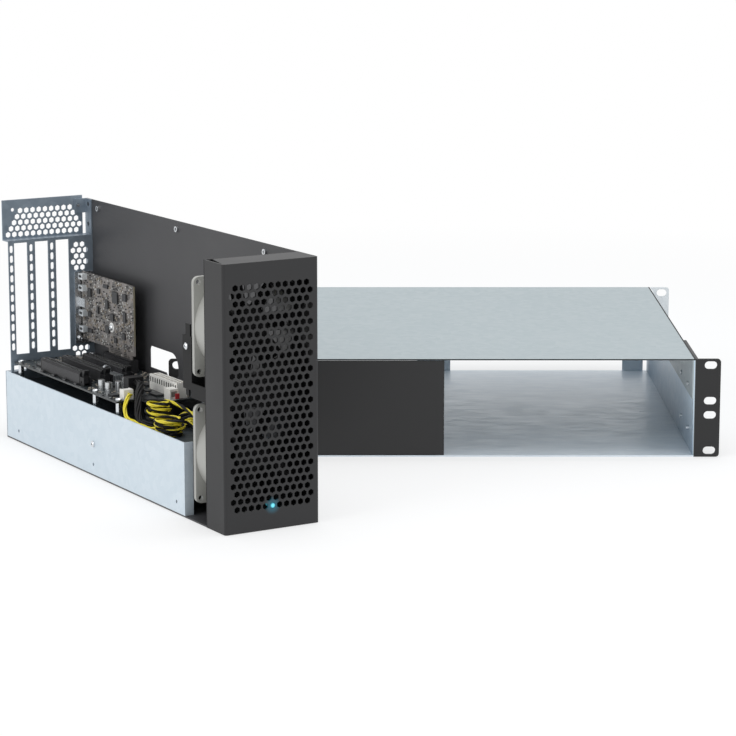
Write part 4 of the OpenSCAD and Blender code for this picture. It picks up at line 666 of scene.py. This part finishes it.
# %% Board leads
BOARD = 71.6
PLUG_TALL, EXIT_RISE = 15, 4.2
black_exit = BOARD + PLUG_TALL - EXIT_RISE
black_route = [(31, 213, black_exit), (31, 213 - BLACK, black_exit), (29.4, 201, 82.8), (25.4, 194, 82.4)]
black_route += [(20.4, 187, 78), (16.6, 180.6, 70.4), (14.2, 175.6, 62.6), (13.4, 170, 58)]
black_route += [(14.4, 164, LYING), (18, 158, LYING), (25, 154, LYING), (33, 152.4, LYING)]
black_route += [(41, 151, 58.6), (48, 150.2, 60.6), (53, 150, TOP + BLACK), (53, 150, TOP)]
yellow_exit = BOARD + EXIT_RISE
yellow_route = [(16.9, 198.6, yellow_exit), (16.9, 194.8, yellow_exit), (13, 191.4, 76), (9, 188, 71.4)]
yellow_route += [(6.8, 185.6, 65.6), (6, 181, 61), (6, 173, 59.8), (6.4, 165, 59), (8, 157, 57.8)]
yellow_route += [(11, 150.6, 56.4), (16, 147.4, 56.3), (24, 146.4, 56.3), (33, 146, 56.6), (41, 145.6, 58.8)]
yellow_route += [(47.4, 144.6, 61), (52, 143, TOP + 3.8), (52, 143, TOP)]
six = {"wires": [(a, 0) for a in range(0, 360, 60)], "offset": 2.0, "wire_d": 2.1, "twist_mm": 60}
three = {"wires": [(a, 0) for a in range(0, 360, 120)], "offset": 0.98, "wire_d": 1.8, "twist_mm": 40}
for name, route, laid, material, slot in (
    ("board_lead_black", black_route, six, wire_black, "black_wire"),
    ("board_lead_yellow", yellow_route, three, wire_yellow, "yellow_wire"),
):
    piece = wire_bundle(f"{name}_wires", lead_path(route), materials=[material], replaced=[name], **laid)
print("board leads: 2")

# %% [markdown]
# ## Small parts on the boards
# A board carries hundreds of chip resistors and capacitors, 2 mm long and less. Geometry Nodes put one small
# block on each of a list of spots. The spots are drawn at random with a fixed seed, on a half-millimetre grid
# as a layout program sets them, and those that would fall on a CAD piece are left out.

# %% A tree that sets blocks on points


def block_tree(name):
    """Puts a box of a given size on every vertex, turned with the module."""
    tree = bpy.data.node_groups.new(name, "GeometryNodeTree")
    face = tree.interface
    face.new_socket(name="Points", in_out="INPUT", socket_type="NodeSocketGeometry")
    for socket in ("Block Size", "Turn"):
        face.new_socket(name=socket, in_out="INPUT", socket_type="NodeSocketVector")
    face.new_socket(name="Finish", in_out="INPUT", socket_type="NodeSocketMaterial")
    face.new_socket(name="Blocks", in_out="OUTPUT", socket_type="NodeSocketGeometry")
    entry = tree.nodes.new("NodeGroupInput").outputs
    block = add(tree, "GeometryNodeMeshCube", {"Size": entry["Block Size"]})
    links = {"Points": entry["Points"], "Instance": block.outputs["Mesh"], "Rotation": entry["Turn"]}
    spread = add(tree, "GeometryNodeInstanceOnPoints", links)
    real = add(tree, "GeometryNodeRealizeInstances", {"Geometry": spread.outputs[0]})
    links = {"Geometry": real.outputs[0], "Material": entry["Finish"]}
    paint = add(tree, "GeometryNodeSetMaterial", links)
    add(tree, "NodeGroupOutput", {"Blocks": paint.outputs[0]})
    return tree


blocks = block_tree("blocks_on_points")


def set_blocks(name, spots, size_mm, material):
    """Blocks with their centres at spots, which are module millimetres, as one plain mesh."""
    data = bpy.data.meshes.new(name + "_points")
    data.from_pydata([TO_SCENE @ Vector(s) for s in spots], [], [])
    holder = bpy.data.objects.new(name + "_points", data)
    scene.collection.objects.link(holder)
    live = holder.modifiers.new("blocks", "NODES")
    live.node_group = blocks
    values = {"Block Size": [s * MM for s in size_mm], "Turn": (0.0, 0.0, YAW), "Finish": material}
    for item in blocks.interface.items_tree:
        if item.in_out == "INPUT" and item.name in values:
            live[item.identifier] = values[item.name]
    depsgraph = bpy.context.evaluated_depsgraph_get()
    made = bpy.data.meshes.new_from_object(holder.evaluated_get(depsgraph), depsgraph=depsgraph)
    bpy.data.objects.remove(holder)
    made.name = name
    piece = bpy.data.objects.new(name, made)
    scene.collection.objects.link(piece)
    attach(piece, "module")


print("tree inputs:", [i.name for i in blocks.interface.items_tree if i.in_out == "INPUT"])

# %% [markdown]
# Each connector holds two rows of spring contacts, 1 mm apart, which show as bright ticks inside its slot.
# The white header holds two rows of square pins 4.2 mm apart.

# %% Contacts and pins
CONN_U, CONN_V = [11.5, 31.82, 52.14], 277
HOST_U, HOST_CONN_V = 72.46, 303
ROW, CONTACT_W = 0.93, BOARD + 8.6
HEADER_U, HEADER_V, PIN_ROW, PITCH = 58, 181, 2.1, 4.2
contacts = [(u + s * ROW, CONN_V + k, CONTACT_W) for u in CONN_U for s in (-1, 1) for k in range(76)]
contacts += [(HOST_U + s * ROW, HOST_CONN_V + 0.5 + k, CONTACT_W) for s in (-1, 1) for k in range(50)]
set_blocks("slot_contacts", contacts, (0.24, 0.5, 4.8), tin)
pins = [(HEADER_U + s * PIN_ROW, HEADER_V + (k + 0.6) * PITCH, BOARD + 8) for s in (-1, 1) for k in range(12)]
set_blocks("header_pins", pins, (0.9, 0.9, 8), gold)
print("contacts:", len(contacts), "pins:", len(pins))

# %% [markdown]
# The near side of each connector is ribbed every 2 mm, and small lips line the mouth of each of the three
# slots.

# %% Ribs and lips
WALL, RIB_W = 3.85, BOARD + 5.2
LIP, LIP_W = 2.4, BOARD + 11.3
ribs = [(u - WALL, CONN_V + 2 * k, RIB_W) for u in CONN_U for k in range(38)]
ribs += [(HOST_U - WALL, HOST_CONN_V + 2 * k, RIB_W) for k in range(26)]
# Ribs and lips carry the lighter grey of painted highlight.
set_blocks("connector_ribs", ribs, (0.3, 0.9, 8.4), rib_painted_highlight)
lips = [(u + s * LIP, CONN_V + 2 * k, LIP_W) for u in CONN_U for s in (-1, 1) for k in range(38)]
set_blocks("connector_lips", lips, (1.6, 0.8, 0.3), rib_painted_highlight)
print("ribs:", len(ribs), "lips:", len(lips))

# %% [markdown]
# The header's near side has a dark window over each pair of pins, a thin black patch of painted shade for the
# opening, and a red key stands before its front end. The side is found in the mesh, among the points behind the
# small header that shares the node.

# %% Windows and key of the header
SMALL_HEADER_V, WINDOW, FIRST_WINDOW = 190, 0.1, 2.6
header_points = [to_module @ v.co for v in nodes["power_header"].data.vertices]
header_left = min(p.x for p in header_points if p.y > SMALL_HEADER_V)
window_shades = [(header_left - WINDOW / 2, HEADER_V + FIRST_WINDOW + PITCH * k, BOARD + 9) for k in range(12)]
# Painted shade: thin black patches stand for the header's openings.
set_blocks("header_window_shades", window_shades, (WINDOW, 1.7, 4.2), chip_black)
set_blocks("header_key_red", [(50.6, 175.2, BOARD + 3.4)], (3.4, 1.4, 4.4), nylon_red)
print("header side at u =", round(header_left, 2))

# %% [markdown]
# The spots for the small parts come from a seeded draw that is checked against the boxes of the CAD pieces,
# in module millimetres. Sizes are the common 2.0 × 1.2 mm and 1.6 × 0.8 mm chips.

# %% Boxes that are taken


def around(u, v, half_u, half_v):
    """The box round a spot: lowest u and v, then highest u and v."""
    return (u - half_u, v - half_v, u + half_u, v + half_v)


def around_parts(parts, corner, size, margin):
    """Boxes round parts whose middles and sizes are given as fractions of a board."""
    (u, v), (wide, long) = corner, size
    halves = [(c * wide / 2 + margin, d * long / 2 + margin) for _, _, c, d in parts]
    return [around(u + a * wide, v + b * long, *half) for (a, b, _, _), half in zip(parts, halves)]


taken = [(u - 4.2, 263, u + 4.2, 357) for u in CONN_U] + [(68, 299, 77, 357)]
taken += [(52.6, 180.5, 63.2, 232.6), (44, 175.8, 53, 188), (23.6, 212.6, 38.4, 223.6)]
taken += [(12, 198, 22, 207), (36.4, 270.5, 47.8, 295.5), (4.1, 176, 27.4, 196.4)]
caps = [(0.18, 0.28), (0.18, 0.34), (0.30, 0.28), (0.46, 0.28), (0.46, 0.34), (0.57, 0.30)]
caps += [(0.84, 0.12), (0.84, 0.20)]
chips = [(0.12, 0.19, 0.10, 0.04), (0.35, 0.06, 0.12, 0.06), (0.36, 0.12, 0.06, 0.03)]
chips += [(0.52, 0.12, 0.10, 0.06), (0.52, 0.20, 0.06, 0.04), (0.67, 0.30, 0.09, 0.045)]
chips += [(0.30, 0.345, 0.07, 0.03), (0.80, 0.30, 0.06, 0.03), (0.22, 0.50, 0.08, 0.05)]
chips += [(0.22, 0.66, 0.06, 0.04), (0.48, 0.64, 0.08, 0.05), (0.48, 0.74, 0.05, 0.03)]
chips += [(0.735, 0.56, 0.07, 0.05), (0.735, 0.68, 0.05, 0.03), (0.90, 0.42, 0.06, 0.04)]
chips += [(0.15, 0.86, 0.08, 0.04), (0.36, 0.88, 0.10, 0.04), (0.60, 0.87, 0.10, 0.035)]
chips += [(0.80, 0.90, 0.06, 0.03)] + [(0.022, 0.45 + 0.1 * k, 0.025, 0.02) for k in range(4)]
screws = [(8.5, 200.4), (8.5, 245), (8.5, 400.4), (78.9, 180.4), (78.9, 245), (78.9, 400.4)]
CORNER, SIZE = (4.1, 176.0), (79.2, 228.8)
CAN_HALF, CHIP_MARGIN, SCREW_HALF = 3.6, 0.8, 3.4
taken += around_parts([(a, b, 0, 0) for a, b in caps], CORNER, SIZE, CAN_HALF)
taken += around_parts(chips, CORNER, SIZE, CHIP_MARGIN)
taken += [around(u, v, SCREW_HALF, SCREW_HALF) for u, v in screws]
print("boxes taken:", len(taken))

# %% Spots for small parts


def free_spots(count, margin, seed, u_range, v_range, tries=60):
    """Seeded spots on a half-millimetre grid that miss every taken box and one another."""
    draw = random.Random(seed)
    found = []
    for _ in range(count * tries):
        if len(found) == count:
            break
        u = round(draw.uniform(*u_range) * 2) / 2
        v = round(draw.uniform(*v_range) * 2) / 2
        if all(not (a - margin < u < c + margin and b - margin < v < d + margin) for a, b, c, d in taken):
            found.append((u, v))
            taken.append(around(u, v, margin, margin))
    return found


BIG_MARGIN, SMALL_MARGIN = 1.25, 0.85
big = free_spots(150, BIG_MARGIN, 3, (5.5, 82.0), (177.5, 403.5))
small = free_spots(230, SMALL_MARGIN, 5, (5.0, 82.4), (177.0, 404.0))
print("spots:", len(big), len(small))

# %% Small parts on the expansion board
for name, spots, size_mm, material, slot in (
    ("chip_capacitors", big[::2], (2.0, 1.2, 0.8), ceramic, "white_plastic"),
    ("chip_resistors", big[1::2], (1.2, 2.0, 0.6), chip_black, "chip"),
    ("solder_joints", small[::2], (1.6, 0.8, 0.4), tin, "zinc_steel"),
    ("small_capacitors", small[1::2], (0.8, 1.6, 0.6), ceramic, "white_plastic"),
):
    set_blocks(name, [(u, v, BOARD + size_mm[2] / 2) for u, v in spots], size_mm, material)
print("small parts on the expansion board")

# %% [markdown]
# ## Host card
# Its solder side faces the viewer. It has the same small parts, drawn on the card's own plane, the tinned
# shells of four connectors at its rear end, and the tan edge of its bare laminate in front.

# %% Small parts on the host card
CARD_T = 1.6
HOST_V, HOST_LONG, HOST_LOW, HOST_HIGH = 298.8, 105.0, 86.6, 149.0
host_chips = [(0.16, 0.80, 0.07, 0.10), (0.16, 0.52, 0.05, 0.14), (0.18, 0.24, 0.05, 0.09)]
host_chips += [(0.34, 0.76, 0.10, 0.16), (0.40, 0.46, 0.06, 0.10), (0.34, 0.14, 0.05, 0.07)]
host_chips += [(0.50, 0.62, 0.05, 0.12), (0.50, 0.26, 0.07, 0.10), (0.52, 0.88, 0.09, 0.05)]
host_chips += [(0.66, 0.78, 0.05, 0.07), (0.68, 0.50, 0.03, 0.10), (0.84, 0.72, 0.06, 0.12)]
host_chips += [(0.84, 0.40, 0.05, 0.08), (0.84, 0.16, 0.08, 0.06)]
tall = HOST_HIGH - HOST_LOW
ring_v, ring_w = HOST_V + 0.42 * HOST_LONG, HOST_LOW + 0.31 * tall
RING_HALF = 5.5
taken = around_parts(host_chips, (HOST_V, HOST_LOW), (HOST_LONG, tall), CHIP_MARGIN)
taken += [around(ring_v, ring_w, RING_HALF, RING_HALF), (395, 115, 405, 126)]
parts = free_spots(330, SMALL_MARGIN, 11, (HOST_V + 2, 402.0), (HOST_LOW + 1.5, HOST_HIGH - 1.5))
face = HOST_U - CARD_T / 2
for name, spots, size_mm, material, slot in (
    ("card_capacitors", parts[::3], (0.8, 1.1, 1.8), ceramic, "white_plastic"),
    ("card_solder", parts[1::3], (0.3, 1.5, 1.1), tin, "zinc_steel"),
    ("card_resistors", parts[2::3], (0.6, 1.8, 1.0), chip_black, "chip"),
):
    set_blocks(name, [(face - size_mm[0] / 2, v, w) for v, w in spots], size_mm, material)
print("card parts:", len(parts))

# %% Shells and edge of the host card
SHELL, MOUTH_RISE = (5.0, 8.6, 5.2), 0.2
shells = [(face - SHELL[0] / 2, 397.0, w) for w in (145.0, 134.5, 111.5, 97.0)]
# Tin's own pale grey, lightened towards white in patches: partly painted highlight.
shell_tin_and_highlight = galvanised("tinned_connector_shells", "C4CACE", "EEF1F2", 0.3, metallic=0.3)
set_blocks("card_connector_shells", shells, SHELL, shell_tin_and_highlight)
mouths = [(face - SHELL[0], v, w + MOUTH_RISE) for _, v, w in shells]
set_blocks("card_connector_mouths", mouths, (0.3, 5.6, 2.2), chip_black)
fibre = moulded("tan_board_edge", "8E8873", 0.6)
strip = [(face + CARD_T / 2, HOST_V - 0.05, HOST_HIGH - 27.0)]
set_blocks("card_edge", strip, (1.5, 0.14, 53.0), fibre)
print("shells:", len(shells))

# %% [markdown]
# A white printed ring, 9 mm across, surrounds the screw hole in the card.

# %% Printed ring
OUTER, INNER, INK, SPOKES = 4.5, 2.3, 0.25, 24
ring = bmesh.new()
circles = []
for radius, lift in ((OUTER, 0.0), (OUTER, INK), (INNER, INK), (INNER, 0.0)):
    angles = [math.radians(360 / SPOKES * k) for k in range(SPOKES)]
    spots = [(face - lift, ring_v + radius * math.cos(a), ring_w + radius * math.sin(a)) for a in angles]
    circles.append([ring.verts.new(spot) for spot in spots])
for one, other in zip(circles, circles[1:] + circles[:1]):
    for k in range(SPOKES):
        j = (k + 1) % SPOKES
        ring.faces.new((one[k], one[j], other[j], other[k]))
ring_white = moulded("white_silkscreen_ink", "F2F2EF", 0.6)
finish_piece("card_ring", ring, [ring_white])
print("printed ring at", round(ring_v, 1), round(ring_w, 1))

# %% [markdown]
# ## Floor, backdrop and light
# The photograph's ground is white with a faint soft shadow. The floor mixes its own light into a white
# diffuse surface, so that it renders white while the object's shadow still shows. The share of its own light
# grows with the distance from the object, so that the far ground stays white where the lamps fade. The light
# is a pale world with three big soft lamps: one above, one from the left front, and a weak one from the
# right.

# %% Floor
floor_paint = bpy.data.materials.new("white_studio_floor")
floor_paint.use_nodes = True
tree = floor_paint.node_tree
tree.nodes.clear()
lit = add(tree, "ShaderNodeBsdfDiffuse", Color=colour("F7F7F7"))
glow = add(tree, "ShaderNodeEmission", Color=(1, 1, 1, 1), Strength=1.0)
where = add(tree, "ShaderNodeTexCoord").outputs["Object"]
reach = add(tree, "ShaderNodeVectorMath", {0: where}, operation="LENGTH")
NEAR_M, FAR_M, NEAR_SHARE = 0.55, 1.3, 0.58
limits = {"From_Min": NEAR_M, "From_Max": FAR_M, "To_Min": NEAR_SHARE, "To_Max": 1.0}
share = add(tree, "ShaderNodeMapRange", {"Value": reach.outputs["Value"]}, **limits)
blend = add(tree, "ShaderNodeMixShader", {0: share.outputs[0], 1: lit.outputs[0], 2: glow.outputs[0]})
add(tree, "ShaderNodeOutputMaterial", {"Surface": blend.outputs[0]})
data = bpy.data.meshes.new("studio_floor")
REACH, DROP = 9, 0.0005
corners = [(x * REACH, y * REACH, -DROP) for x, y in ((-1, -1), (1, -1), (1, 1), (-1, 1))]
data.from_pydata(corners, [], [(0, 1, 2, 3)])
data.materials.append(floor_paint)
floor = bpy.data.objects.new("studio_floor", data)
scene.collection.objects.link(floor)
print("floor ready")

# %% World and lamps
world = bpy.data.worlds.new("studio_world")
world.use_nodes = True
scene.world = world
tree = world.node_tree
tree.nodes.clear()
rays = tree.nodes.new("ShaderNodeLightPath").outputs
seen = rays["Is Camera Ray"]
for other in ("Is Transmission Ray", "Is Glossy Ray"):
    seen = add(tree, "ShaderNodeMath", {0: seen, 1: rays[other]}, operation="MAXIMUM").outputs[0]
soft = add(tree, "ShaderNodeBackground", Color=colour("F2F5F8"), Strength=0.7)
white = add(tree, "ShaderNodeBackground", Color=(1, 1, 1, 1), Strength=1.0)
pick = add(tree, "ShaderNodeMixShader", {0: seen, 1: soft.outputs[0], 2: white.outputs[0]})
add(tree, "ShaderNodeOutputWorld", {"Surface": pick.outputs[0]})


def soft_lamp(name, place, aim, size, watts):
    """A large square lamp that points at aim."""
    data = bpy.data.lights.new(name, "AREA")
    data.shape = "SQUARE"
    data.size = size
    data.energy = watts
    lamp = bpy.data.objects.new(name, data)
    lamp.location = place
    lamp.rotation_euler = (Vector(aim) - Vector(place)).to_track_quat("-Z", "Y").to_euler()
    scene.collection.objects.link(lamp)


soft_lamp("overhead", (0.1, -0.3, 2.2), (-0.1, -0.2, 0.0), 1.8, 24)
soft_lamp("left_front", (-2.2, -1.9, 1.5), (-0.2, -0.25, 0.1), 1.6, 20)
soft_lamp("right_front", (2.0, -2.0, 1.0), (0.0, -0.2, 0.1), 1.4, 6)
scene.view_settings.view_transform = "Standard"
print("lamps: 3")
